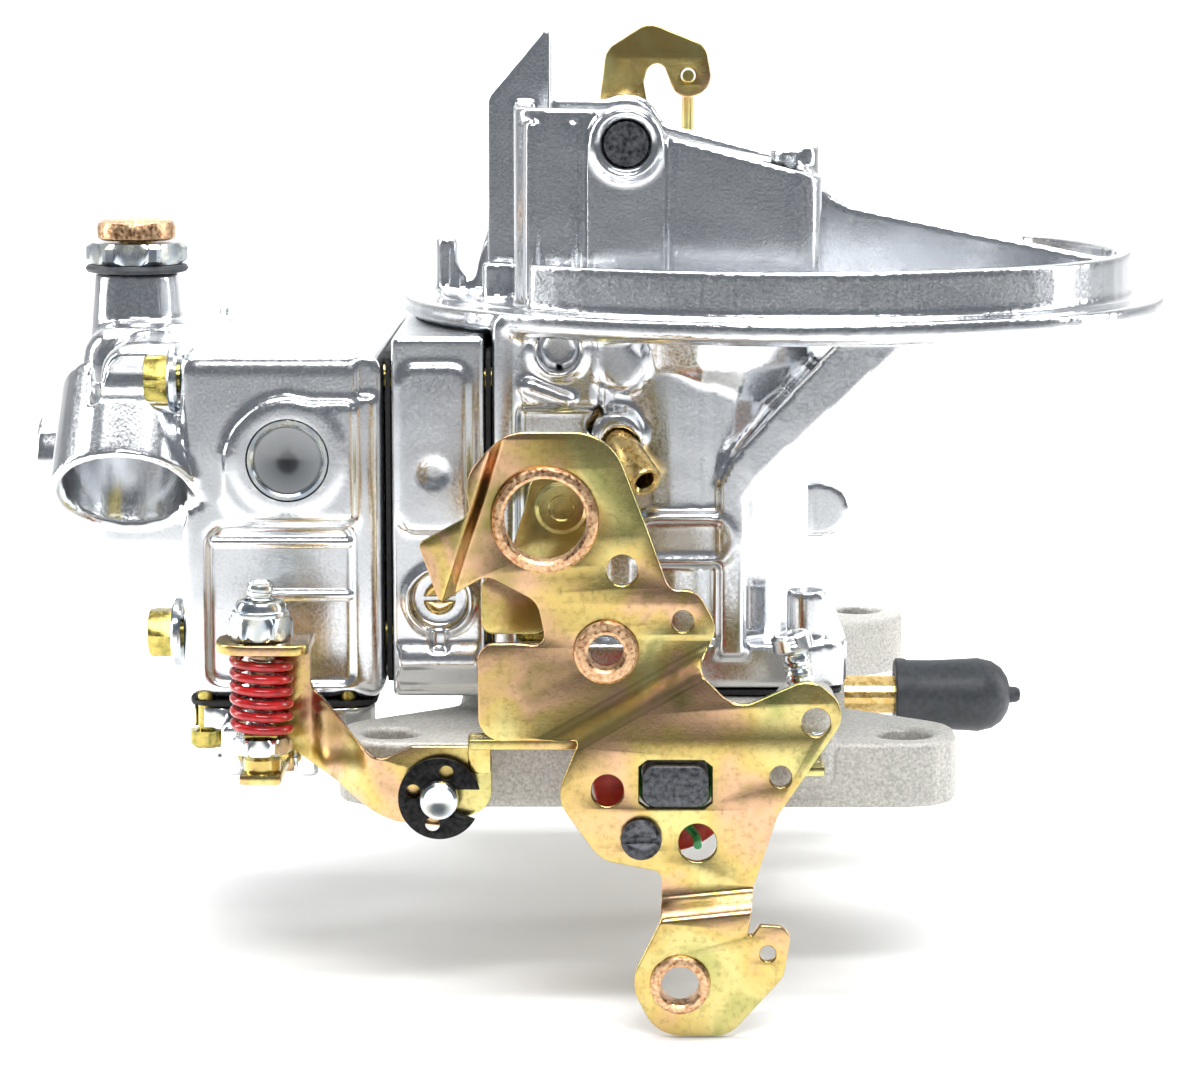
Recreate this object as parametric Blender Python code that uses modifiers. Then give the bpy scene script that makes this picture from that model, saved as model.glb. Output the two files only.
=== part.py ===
"""Two-barrel carburetor with its linkage, as separate solids.

Sizes below are in millimetres, and MM turns them to Blender's metres where a mesh is made.
Frame: +Z up, -X the fuel bowl end, -Y the throttle lever side, and the origin on the mounting
face at the middle of the four stud holes.
"""

import math

import bmesh
import bpy
from mathutils import Matrix, Vector

MM = 0.001
GAP = 0.3
SHARP = math.radians(35)

# Throttle body and its mounting flange
STUD_X, STUD_Y = 44.5, 65.9
STUD_RADIUS, EAR_RADIUS = 4.95, 9.3
EAR_TOP, BASE_TOP = 11.3, 14.4
BORE_X, BORE_Y, BORE_RADIUS = 4.5, 23.8, 19.05
SHAFT_Z, SHAFT_RADIUS = 8.4, 4.0

# Main body and air horn
GASKET = 0.8
BODY_FLOOR = BASE_TOP + GASKET + 2 * GAP
BODY_SIDE = 49.0
BODY_FRONT, BODY_REAR = -27.5, 36.0
VENTURI_RADIUS = 15.1
HORN_X = 25.8
RING_RADIUS, RING_INNER, RING_TOP = 65.1, 62.5, 91.4
LEDGE_RADIUS, LEDGE_TOP, LEDGE_FLOOR = 71.4, 83.2, 79.0
TOWER_FRONT, TOWER_REAR, TOWER_SIDE, WALL = -24.0, 31.4, 38.0, 3.0
CHOKE_X, CHOKE_Z, CHOKE_SLOPE = -3.8, 112.4, math.radians(11.9)

# Metering block and fuel bowl
BLOCK_REAR = BODY_FRONT - GASKET - 2 * GAP
BLOCK_FRONT = -45.3
BOWL_REAR = BLOCK_FRONT - GASKET - 2 * GAP
BOWL_FRONT, BOWL_SIDE, BOWL_FLOOR, BOWL_TOP = -83.0, 50.0, 13.9, 76.0
BOWL_WALL = 3.2
BOWL_SCREW_Y, BOWL_SCREW_Z = 42.5, (25.0, 71.0)
INLET_X, INLET_Y, INLET_Z, INLET_TILT = -93.0, 47.0, 50.5, math.radians(50)
TOWER_X = -96.3

# Accelerator pump
PUMP_X, PUMP_Y = -66.4, -74.0
PUMP_PIN = (-35.3, 4.0)
ARM_PIN_Y, ARM_PIN_Z = -57.0, 5.4
DIAPHRAGM_Y = -33.0

# Throttle lever: three parallel flats, each stepped nearer to the outside
SHEET = 1.7
LEVER_TOP_Y, LEVER_MID_Y, LEVER_END_Y = -91.5, -95.5, -99.5
SLOT_CORNERS = [(-1, -0.75), (-0.78, -1), (0.78, -1), (1, -0.75)]
SLOT_CORNERS += [(1, 0.75), (0.78, 1), (-0.78, 1), (-1, 0.75)]


def clear_scene():
    for obj in list(bpy.data.objects):
        bpy.data.objects.remove(obj)


def collection(name):
    made = bpy.data.collections.new(name)
    bpy.context.scene.collection.children.link(made)
    return made


clear_scene()
PARTS = collection("two_barrel_carburetor")
CUTTERS = collection("cutters")


def finish(name, colour, roughness, metallic):
    """A Principled material of one colour."""
    made = bpy.data.materials.new(name)
    made.use_nodes = True
    shader = made.node_tree.nodes["Principled BSDF"]
    shader.inputs["Base Color"].default_value = (*colour, 1)
    shader.inputs["Roughness"].default_value = roughness
    shader.inputs["Metallic"].default_value = metallic
    return made


BRIGHT_CASTING = finish("bright_casting", (0.72, 0.73, 0.75), 0.22, 1)
SAND_CASTING = finish("sand_casting", (0.60, 0.59, 0.57), 0.6, 0.8)
GOLD_ZINC = finish("gold_zinc", (0.72, 0.50, 0.20), 0.28, 1)
COPPER_FINISH = finish("copper_finish", (0.75, 0.45, 0.30), 0.4, 1)
BRIGHT_ZINC = finish("bright_zinc", (0.78, 0.82, 0.86), 0.25, 1)
BRASS = finish("brass", (0.75, 0.58, 0.28), 0.28, 1)
BLACK_OXIDE = finish("black_oxide", (0.05, 0.05, 0.05), 0.5, 0.6)
GASKET_PAPER = finish("gasket_paper", (0.03, 0.03, 0.03), 0.8, 0)
RUBBER = finish("rubber", (0.06, 0.06, 0.07), 0.6, 0)
RED_PAINT = finish("red_paint", (0.65, 0.03, 0.03), 0.3, 0)
RED_NYLON = finish("red_nylon", (0.55, 0.06, 0.03), 0.45, 0)
SPRING_WIRE = finish("spring_wire", (0.10, 0.35, 0.16), 0.4, 0)
STEEL = finish("steel", (0.35, 0.35, 0.36), 0.4, 1)
FLOAT_BRASS = finish("float_brass", (0.70, 0.52, 0.25), 0.35, 1)


def pivot(name, x, y, z):
    """An empty on a joint's axis, which the pieces of that joint's body hang from."""
    made = bpy.data.objects.new(name, None)
    made.location = Vector((x, y, z)) * MM
    PARTS.objects.link(made)
    return made


def keep(obj, material, carrier=None):
    """Make a shape a part of the carburetor, carried by a joint's empty if it moves."""
    CUTTERS.objects.unlink(obj)
    PARTS.objects.link(obj)
    obj.hide_render = False
    obj.display_type = "TEXTURED"
    obj.data.materials.clear()
    obj.data.materials.append(material)
    if carrier:
        obj.parent = carrier
        obj.matrix_parent_inverse = Matrix.Translation(-carrier.location)
    return obj


def as_helper(obj):
    CUTTERS.objects.link(obj)
    obj.hide_render = True
    obj.display_type = "WIRE"
    return obj


def from_bmesh(name, shape):
    bmesh.ops.recalc_face_normals(shape, faces=shape.faces)
    mesh = bpy.data.meshes.new(name)
    shape.to_mesh(mesh)
    shape.free()
    mesh.shade_smooth()
    mesh.set_sharp_from_angle(angle=SHARP)
    return as_helper(bpy.data.objects.new(name, mesh))


def block(name, low, high, bevel=0.0, segments=1):
    """A box between two corners, with rounded edges if bevel is given."""
    low, high = Vector(low), Vector(high)
    shape = bmesh.new()
    bmesh.ops.create_cube(shape, size=1)
    bmesh.ops.scale(shape, vec=(high - low) * MM, verts=shape.verts)
    bmesh.ops.translate(shape, vec=(high + low) / 2 * MM, verts=shape.verts)
    made = from_bmesh(name, shape)
    if bevel:
        edges = made.modifiers.new("Bevel", "BEVEL")
        edges.width = bevel * MM
        edges.segments = segments
    return made


def rod(name, start, end, radius, end_radius=None, sides=20):
    """A cylinder, cone or prism from start to end."""
    start, end = Vector(start), Vector(end)
    along = end - start
    place = Matrix.Translation((start + end) / 2 * MM) @ along.to_track_quat("Z", "Y").to_matrix().to_4x4()
    shape = bmesh.new()
    bmesh.ops.create_cone(
        shape,
        cap_ends=True,
        segments=sides,
        radius1=radius * MM,
        radius2=(radius if end_radius is None else end_radius) * MM,
        depth=along.length * MM,
        matrix=place,
    )
    return from_bmesh(name, shape)


def ball(name, centre, radii, rings=10):
    shape = bmesh.new()
    place = Matrix.Translation(Vector(centre) * MM) @ Matrix.Diagonal((*radii, 1))
    bmesh.ops.create_uvsphere(shape, u_segments=2 * rings, v_segments=rings, radius=MM, matrix=place)
    return from_bmesh(name, shape)


def turned(name, profile, centre, axis=(0, 0, 1), sides=16):
    """A turned shape: (radius, height) points down its outer side, spun about an axis."""
    mesh = bpy.data.meshes.new(name)
    points = [(radius * MM, 0, height * MM) for radius, height in profile]
    edges = [(i, i + 1) for i in range(len(points) - 1)]
    if profile[0][0] > 0:
        edges.append((len(points) - 1, 0))
    mesh.from_pydata(points, edges, [])
    made = as_helper(bpy.data.objects.new(name, mesh))
    made.location = Vector(centre) * MM
    made.rotation_euler = Vector(axis).to_track_quat("Z", "Y").to_euler()
    spin = made.modifiers.new("Screw", "SCREW")
    spin.steps = spin.render_steps = sides
    spin.use_merge_vertices = True
    spin.merge_threshold = 0.00001
    return made


def circle(x, y, radius, sides=20):
    turn = 2 * math.pi / sides
    return [(x + radius * math.cos(i * turn), y + radius * math.sin(i * turn)) for i in range(sides)]


def rounded(corners, steps=3):
    """An outline through (x, y, radius) corners, each turned by an arc of its radius."""
    points = []
    count = len(corners)
    for i, (x, y, radius) in enumerate(corners):
        here = Vector((x, y))
        back = Vector(corners[i - 1][:2]) - here
        ahead = Vector(corners[(i + 1) % count][:2]) - here
        half = back.angle(ahead) / 2
        if radius == 0 or half > 1.5:
            points.append((x, y))
            continue
        reach = min(radius / math.tan(half), back.length * 0.49, ahead.length * 0.49)
        radius = reach * math.tan(half)
        middle = here + (back.normalized() + ahead.normalized()).normalized() * radius / math.sin(half)
        first = here + back.normalized() * reach - middle
        last = here + ahead.normalized() * reach - middle
        sweep = first.angle_signed(last)
        for step in range(steps + 1):
            turned_by = Matrix.Rotation(-sweep * step / steps, 2)
            points.append(tuple(middle + turned_by @ first))
    return points


PLANES = {
    "XY": Matrix.Identity(4),
    "XZ": Matrix(((1, 0, 0, 0), (0, 0, -1, 0), (0, 1, 0, 0), (0, 0, 0, 1))),
    "YZ": Matrix(((0, 0, 1, 0), (1, 0, 0, 0), (0, 1, 0, 0), (0, 0, 0, 1))),
}


def meshed(name, curve, place):
    """The mesh of a curve object, with its caps welded on."""
    source = bpy.data.objects.new(name + "_curve", curve)
    bpy.context.scene.collection.objects.link(source)
    source.matrix_world = place
    graph = bpy.context.evaluated_depsgraph_get()
    mesh = bpy.data.meshes.new_from_object(source.evaluated_get(graph))
    mesh.transform(place)
    bpy.data.objects.remove(source)
    shape = bmesh.new()
    shape.from_mesh(mesh)
    bpy.data.meshes.remove(mesh)
    bmesh.ops.remove_doubles(shape, verts=shape.verts, dist=1e-6)
    return from_bmesh(name, shape)


def plate(name, outline, low, high, holes=(), plane="XZ"):
    """A flat outline with holes, between two places along the plane's normal."""
    curve = bpy.data.curves.new(name, "CURVE")
    curve.dimensions = "2D"
    curve.fill_mode = "BOTH"
    curve.extrude = (high - low) / 2 * MM
    for loop in (outline, *holes):
        spline = curve.splines.new("POLY")
        spline.points.add(len(loop) - 1)
        for point, (x, y) in zip(spline.points, loop):
            point.co = (x * MM, y * MM, 0, 1)
        spline.use_cyclic_u = True
    middle = (high + low) / 2 * MM * (-1 if plane == "XZ" else 1)
    return meshed(name, curve, PLANES[plane] @ Matrix.Translation((0, 0, middle)))


def wire(name, points, radius, resolution=1):
    curve = bpy.data.curves.new(name, "CURVE")
    curve.dimensions = "3D"
    curve.bevel_depth = radius * MM
    curve.bevel_resolution = resolution
    curve.use_fill_caps = True
    spline = curve.splines.new("POLY")
    spline.points.add(len(points) - 1)
    for point, place in zip(spline.points, points):
        point.co = (*(Vector(place) * MM), 1)
    return meshed(name, curve, Matrix.Identity(4))


def fold(obj, point, direction, run, step):
    """Step a sheet in Y past a bend line in the XZ plane; the step ramps over a run."""
    normal = Vector((direction[0], 0, direction[1])).normalized()
    start = Vector((point[0], 0, point[1]))
    shape = bmesh.new()
    shape.from_mesh(obj.data)
    for reach in (0, run):
        bmesh.ops.bisect_plane(
            shape,
            geom=shape.verts[:] + shape.edges[:] + shape.faces[:],
            plane_co=(start + normal * reach) * MM,
            plane_no=normal,
            dist=1e-7,
        )
    for vert in shape.verts:
        past = (vert.co / MM - start).dot(normal) / run
        vert.co.y += step * min(max(past, 0), 1) * MM
    bmesh.ops.triangulate(shape, faces=[face for face in shape.faces if len(face.verts) > 4])
    shape.to_mesh(obj.data)
    shape.free()
    return obj


def combine(target, operation, tools):
    for tool in tools:
        step = target.modifiers.new(operation, "BOOLEAN")
        step.operation = operation
        step.object = tool
    return target


def join(target, *tools):
    return combine(target, "UNION", tools)


def cut(target, *tools):
    return combine(target, "DIFFERENCE", tools)


def trim(target, tool):
    return combine(target, "INTERSECT", [tool])


def throttle_body():
    edge_y = STUD_Y + EAR_RADIUS
    tip_x = STUD_X + EAR_RADIUS
    quarter = [
        (tip_x, edge_y, EAR_RADIUS - 0.3),
        (tip_x, STUD_Y - EAR_RADIUS, EAR_RADIUS - 0.3),
        (34.0, 40.0, 6.0),
    ]
    right = quarter + [(x, -y, r) for x, y, r in reversed(quarter)]
    left = [(-x, y, r) for x, y, r in reversed(right)]
    outline = rounded(right + left)
    studs = [circle(x, y, STUD_RADIUS) for x in (-STUD_X, STUD_X) for y in (-STUD_Y, STUD_Y)]
    bores = [circle(BORE_X, y, BORE_RADIUS, 36) for y in (-BORE_Y, BORE_Y)]
    body = plate("throttle_body", outline, 0, EAR_TOP, studs, "XY")
    rise = block("base_block", (-29.0, -BODY_SIDE, 0), (34.0, BODY_SIDE, BASE_TOP), 1.5)
    boss = block("shaft_boss", (BORE_X - 7.6, -77.5, 0), (BORE_X + 7.6, -48.4, 15.4), 3.0, 3)
    far_boss = block("far_shaft_boss", (BORE_X - 7.6, 48.4, 0), (BORE_X + 7.6, 62, 15.4), 3.0, 3)
    post = block("idle_screw_post", (22.0, -79.0, 4.0), (32.0, -70.0, 21.5), 1.5)
    lug = block("idle_screw_lug", (22.0, -85.5, 15.0), (32.0, -74.0, 21.5), 1.5)
    pin_lug = rod("pump_pin_lug", (PUMP_PIN[0], -77.5, 4.3), (PUMP_PIN[0], -66, 4.3), 4.2)
    socket = rod("vacuum_socket", (30, -8, 7.2), (37.5, -8, 7.2), 6.2)
    join(body, rise, boss, far_boss, post, lug, pin_lug, socket)
    for i, y in enumerate((-BORE_Y, BORE_Y)):
        cut(body, rod(f"bore_{i}", (BORE_X, y, -1), (BORE_X, y, 20), BORE_RADIUS, sides=36))
    floor = block("below_base", (-60, -90, -10), (60, 90, 0))
    shaft = rod("shaft_hole", (BORE_X, -90, SHAFT_Z), (BORE_X, 90, SHAFT_Z), SHAFT_RADIUS + GAP)
    screw_top, screw_tip = idle_screw_axis()
    screw = rod("idle_screw_hole", screw_top, screw_tip, 2.4 + GAP, sides=16)
    pin = rod("pump_pin_hole", (PUMP_PIN[0], -80, 4), (PUMP_PIN[0], -69.5, 4), 2.2 + GAP, sides=16)
    tube = rod("vacuum_hole", (31, -8, 7.2), (40, -8, 7.2), 3.6 + GAP, sides=20)
    cut(body, floor, shaft, screw, pin, tube)
    return keep(body, SAND_CASTING)


def idle_screw_axis():
    return (24.6, -81.0, 29.0), (28.4, -81.0, 12.4)


def base_gasket():
    low = BASE_TOP + GAP
    outline = rounded([(-28, -48, 4), (35, -48, 4), (35, 48, 4), (-28, 48, 4)])
    holes = [circle(BORE_X, y, BORE_RADIUS + 1.0, 24) for y in (-BORE_Y, BORE_Y)]
    keep(plate("base_gasket", outline, low, low + GASKET, holes, "XY"), GASKET_PAPER)


def barrel_cutter(i, y):
    profile = [(0, 84), (21, 84), (19, 62), (VENTURI_RADIUS, 48), (VENTURI_RADIUS, 42)]
    profile += [(BORE_RADIUS, 26), (BORE_RADIUS, 10), (0, 10)]
    return turned(f"barrel_{i}", profile, (BORE_X, y, 0), sides=36)


def air_horn_ring():
    """The air cleaner's seat: a floor, a stepped ledge and a standing ring that is open in front."""
    profile = [
        (0, LEDGE_TOP),
        (RING_INNER, LEDGE_TOP),
        (RING_INNER, RING_TOP),
        (RING_RADIUS, RING_TOP),
        (RING_RADIUS, LEDGE_TOP),
        (LEDGE_RADIUS, LEDGE_TOP),
        (LEDGE_RADIUS, LEDGE_FLOOR + 1.4),
        (LEDGE_RADIUS - 2.2, LEDGE_FLOOR),
        (0, LEDGE_FLOOR),
    ]
    ring = turned("air_horn_ring", profile, (HORN_X, 0, 0), sides=72)
    return cut(ring, block("ring_gap", (-45, -60, LEDGE_TOP + 0.4), (-21, 60, 99)))


def tower_outline():
    """The choke tower seen from the side: level at the front, then falling to the rear."""
    return [
        (TOWER_FRONT, LEDGE_TOP - 2),
        (TOWER_REAR, LEDGE_TOP - 2),
        (TOWER_REAR, 106.3),
        (4.0, 113.6),
        (-2.5, 118.2),
        (TOWER_FRONT, 118.8),
    ]


def choke_tower():
    tower = plate("choke_tower", tower_outline(), -TOWER_SIDE, TOWER_SIDE)
    corners = block(
        "tower_corners",
        (TOWER_FRONT, -TOWER_SIDE, LEDGE_TOP - 8),
        (TOWER_REAR, TOWER_SIDE, 130),
        6.0,
        4,
    )
    trim(tower, corners)
    for side in (-1, 1):
        outer = side * (TOWER_SIDE + 2.5)
        inner = side * (TOWER_SIDE - 2.5)
        low, high = sorted((outer, inner))
        outline = [(CHOKE_X - 7, LEDGE_TOP - 1), (CHOKE_X + 7, LEDGE_TOP - 1), (CHOKE_X + 7, CHOKE_Z)]
        outline += [
            (CHOKE_X + 7 * math.cos(angle), CHOKE_Z + 7 * math.sin(angle))
            for angle in (i * math.pi / 10 for i in range(1, 11))
        ]
        join(tower, plate(f"choke_boss_{side}", outline, low, high))
    return tower


def vent_tower():
    root = [(-29.5, LEDGE_FLOOR + 1), (-26.5, LEDGE_FLOOR + 1), (-26.5, 77.5), (-17.8, 77.5)]
    top = [(-17.8, 132.5), (-18.8, 132.5), (-29.5, 119.8)]
    return plate("vent_tower", root + top, -10.5, 10.5)


def rear_web():
    curve = [(31, 104), (35, 101.2), (38.4, 99.5), (60, 95), (84.4, 90)]
    outline = [(29, LEDGE_TOP - 1), (HORN_X + RING_INNER + 1, LEDGE_TOP - 1), (HORN_X + RING_INNER + 1, 89.5)]
    return plate("rear_web", outline + curve[::-1] + [(29, 105)], -1.6, 1.6)


def front_shapes():
    """The post, its web and gusset, and two round bosses on the ledge in front of the choke tower."""
    web = [(-37.6, 82), (-30, 82), (-30, 84.6), (-33.4, 85.4), (-36.6, 90)]
    gusset = [(-33.6, 82), (-27, 82), (-27, 97), (-29.3, 97)]
    shapes = [rod("front_post", (-37.6, 0, 81), (-37.6, 0, 93.2), 2.0, sides=16)]
    shapes += [plate("post_web", web, -0.8, 0.8), plate("vent_gusset", gusset, -1.6, 1.6)]
    for y in (-16.5, 16.5):
        shapes.append(rod(f"ledge_boss_{y}", (-27.6, y, 81), (-27.6, y, 89.8), 2.9))
    return shapes


def side_rib(side):
    outline = [(13, 22), (17.4, 22), (17.3, 50), (19.9, 54), (44.4, 76.4), (72.5, 77.6), (72.5, 80)]
    outline += [(35, 80), (15.5, 58), (13, 53)]
    low, high = sorted((side * (BODY_SIDE + 0.8), side * 40))
    return plate(f"side_rib_{side}", outline, low, high)


def side_shapes(side):
    """Bosses and ribs on one side of the main body."""
    near = side * BODY_SIDE

    def span(outer, inner):
        return sorted((side * outer, side * inner))

    low, high = span(BODY_SIDE, 38)
    shapes = [block(f"fuel_passage_{side}", (-24, low, 66), (-8.5, high, 80), 0.8)]
    shapes.append(rod(f"passage_plug_{side}", (-5, side * 36, 74.6), (-5, near, 74.6), 5.0))
    shapes.append(rod(f"screw_boss_{side}", (28.7, side * 43.5, 20), (28.7, side * 43.5, 33), 3.7))
    pad = rounded([(-3, 38.4, 4.4), (15.8, 38.4, 4.4), (15.8, 47.4, 4.4), (-3, 47.4, 4.4)])
    low, high = span(BODY_SIDE + 0.4, 40)
    shapes.append(plate(f"blank_pad_{side}", pad, low, high))
    shapes.append(side_rib(side))
    bell = ball(f"bell_{side}", (9.5, side * 23.0, 81), (27, 27.5, 25))
    cut(bell, block(f"bell_top_{side}", (-40, -80, 81), (60, 80, 120)))
    shapes.append(bell)
    return shapes


def main_body():
    side = BODY_SIDE - 0.5
    flange = [(BODY_FRONT, -side, 3), (BODY_REAR, -side, 6), (BODY_REAR, side, 6), (BODY_FRONT, side, 3)]
    body = plate("main_body", rounded(flange), BODY_FLOOR, 24, (), "XY")
    front = block("front_wall", (BODY_FRONT, -BODY_SIDE, BODY_FLOOR), (-23.2, BODY_SIDE, 80.5), 0.6)
    core = block("core", (-25, -44, BODY_FLOOR), (2, 44, 80.5))
    rear = block("rear_column", (2, -21, BODY_FLOOR), (30, 21, 81), 2.0)
    barrels = []
    for y in (-BORE_Y, BORE_Y):
        barrels.append(rod(f"barrel_wall_{y}", (BORE_X, y, 16), (BORE_X, y, 81), 24.2, sides=40))
    tab = [(24, 36.9), (33.3, 36.9)]
    for turn in (i * math.pi / 8 for i in range(1, 8)):
        tab.append((33.3 + 5.3 * math.sin(turn), 42.2 - 5.3 * math.cos(turn)))
    tab += [(33.3, 47.5), (24, 47.5)]
    lug = plate("rear_lug", tab, -5, 5)
    stud = rod("air_cleaner_stud_boss", (HORN_X + 2, 0, 80), (HORN_X + 2, 0, 110.4), 4.7)
    horn = air_horn_ring()
    join(body, front, core, rear, *barrels, horn, choke_tower(), rear_web(), lug, stud, *front_shapes())
    for side in (-1, 1):
        join(body, *side_shapes(side))
    inside = block(
        "tower_inside",
        (TOWER_FRONT + WALL, -TOWER_SIDE + WALL, LEDGE_TOP - 4),
        (TOWER_REAR - WALL, TOWER_SIDE - WALL, 140),
        4.0,
        3,
    )
    cut(body, inside)
    join(body, vent_tower(), rod("stud_boss_inside", (HORN_X + 2, 0, 70), (HORN_X + 2, 0, 109.8), 4.4))
    cut(body, block("vent_bore", (-27.3, -8.3, 86), (-20.5, 8.3, 140)))
    for i, y in enumerate((-BORE_Y, BORE_Y)):
        cut(body, barrel_cutter(i, y))
    shaft = rod("choke_shaft_hole", (CHOKE_X, -60, CHOKE_Z), (CHOKE_X, 60, CHOKE_Z), 3.2 + GAP)
    near_seat = rod("choke_shaft_seat", (CHOKE_X, -42, CHOKE_Z), (CHOKE_X, -39, CHOKE_Z), 4.3)
    stud_hole = rod("stud_hole", (HORN_X + 2, 0, 92), (HORN_X + 2, 0, 120), 2.7, sides=16)
    slot = block("choke_link_slot", (5.5, 51.3, 60), (15.5, 56.5, 100), 1.0)
    nozzle_pocket = block("nozzle_pocket", (-9.2, -2.2, 79), (0, 2.2, 100))
    plug_hole = rod("near_plug_hole", (-15.9, -52, 75.6), (-15.9, -46.5, 75.6), 3.4)
    cut(body, shaft, near_seat, stud_hole, slot, nozzle_pocket, plug_hole)
    start, end = nipple_axis()
    cut(body, rod("nipple_hole", start, end, 3.0 + GAP, sides=16))
    for side in (-1, 1):
        for i, z in enumerate(BOWL_SCREW_Z):
            y = side * BOWL_SCREW_Y
            cut(body, rod(f"body_screw_hole_{side}_{i}", (-40, y, z), (-15, y, z), 2.4 + GAP, sides=16))
        leg_y = side * BORE_Y
        cut(body, rod(f"booster_leg_hole_{side}", (-15, leg_y, 66), (3, leg_y, 66), 2.2 + GAP, sides=12))
    cut(body, rod("pivot_screw_hole", (-15, -60, 50.5), (-15, -38, 50.5), 2.0 + GAP, sides=16))
    cut(body, rod("choke_pivot_hole", (CHOKE_X, 60, 45), (CHOKE_X, 38, 45), 2.0 + GAP, sides=16))
    return keep(body, BRIGHT_CASTING)


def nipple_axis():
    return Vector((-7.4, -43.0, 62.8)), Vector((-0.2, -56.8, 54.0))


def brass_nipple():
    start, end = nipple_axis()
    start = start + (end - start) * 0.12
    body = rod("vent_nipple", start, end, 3.0)
    along = end - start
    keep(cut(body, rod("nipple_bore", start + along * 0.3, end + along, 1.7, sides=12)), BRASS)


def vacuum_port():
    tube = rod("vacuum_tube", (31.6, -8, 7.2), (62, -8, 7.2), 3.6)
    keep(cut(tube, rod("tube_bore", (36, -8, 7.2), (70, -8, 7.2), 2.6, sides=16)), BRASS)
    profile = [(0, 71.2), (1.4, 70.6), (1.5, 69.0), (4.6, 67.8), (6.6, 65.6), (7.1, 62.4), (6.7, 58.0)]
    profile += [(6.9, 47.2), (3.9, 47.2), (3.9, 63.0), (0, 63.0)]
    keep(turned("vacuum_cap", profile, (0, -8, 7.2), (1, 0, 0), 16), RUBBER)


def slab(name, x_low, x_high, margin, floor, top, bevel):
    return block(name, (x_low, -BOWL_SIDE + margin, floor), (x_high, BOWL_SIDE - margin, top), bevel, 3)


def screw_holes(target, x_low, x_high, tag):
    for side in (-1, 1):
        for i, z in enumerate(BOWL_SCREW_Z):
            y = side * BOWL_SCREW_Y
            hole = rod(f"{tag}_screw_hole_{side}_{i}", (x_low, y, z), (x_high, y, z), 2.4 + GAP, sides=16)
            cut(target, hole)


def face_gasket(name, front):
    corners = [(-47.5, 16.5, 3), (47.5, 16.5, 3), (47.5, 76.5, 3), (-47.5, 76.5, 3)]
    holes = [circle(side * BOWL_SCREW_Y, z, 3.2, 10) for side in (-1, 1) for z in BOWL_SCREW_Z]
    holes += [circle(y, 31, 5, 10) for y in (-18, 18)] + [circle(0, 62, 8, 12)]
    keep(plate(name, rounded(corners), front, front + GASKET, holes, "YZ"), GASKET_PAPER)


def metering_block():
    body = slab("metering_block", BLOCK_FRONT, BLOCK_REAR, 0, 14.6, 79.0, 0.8)
    bulge = rod("block_foot", (BLOCK_FRONT + 1, -46, 21), (BLOCK_REAR - 1, -46, 21), 5.2)
    join(body, bulge)
    screw_holes(body, -60, -20, "block")
    for side in (-1, 1):
        outer, inner = side * 55, side * 47.4
        cut(body, rod(f"idle_recess_{side}", (-37, inner, 32), (-37, outer, 32), 5.5))
        cut(body, rod(f"idle_hole_{side}", (-37, side * 30, 32), (-37, outer, 32), 2.9 + GAP, sides=20))
        cut(body, rod(f"jet_hole_{side}", (-50, side * 18, 31), (-38, side * 18, 31), 3.4 + GAP, sides=16))
    cut(body, rod("power_valve_hole", (-36, 0, 50), (-20, 0, 50), 9.0 + GAP, sides=24))
    keep(body, BRIGHT_CASTING)


def idle_mixture_screws():
    for i, side in enumerate((-1, 1)):
        carrier = pivot(f"idle_mixture_axis_{i + 1}", -37, side * 48, 32)
        profile = [(0, 48.6), (2.9, 48.6), (2.9, 39), (2.0, 39), (1.0, 33), (0, 31.5)]
        screw = turned(f"idle_mixture_screw_{i + 1}", profile, (-37, 0, 32), (0, side, 0), 20)
        slot = block(f"idle_slot_{i}", *sorted_box((-41, side * 47.7, 31.5), (-33, side * 50, 32.5)))
        keep(cut(screw, slot), BRASS, carrier)


def sorted_box(first, second):
    pairs = [sorted(pair) for pair in zip(first, second)]
    return tuple(low for low, high in pairs), tuple(high for low, high in pairs)


def inlet_axis(side):
    return Vector((0, side * math.cos(INLET_TILT), -math.sin(INLET_TILT)))


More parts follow.
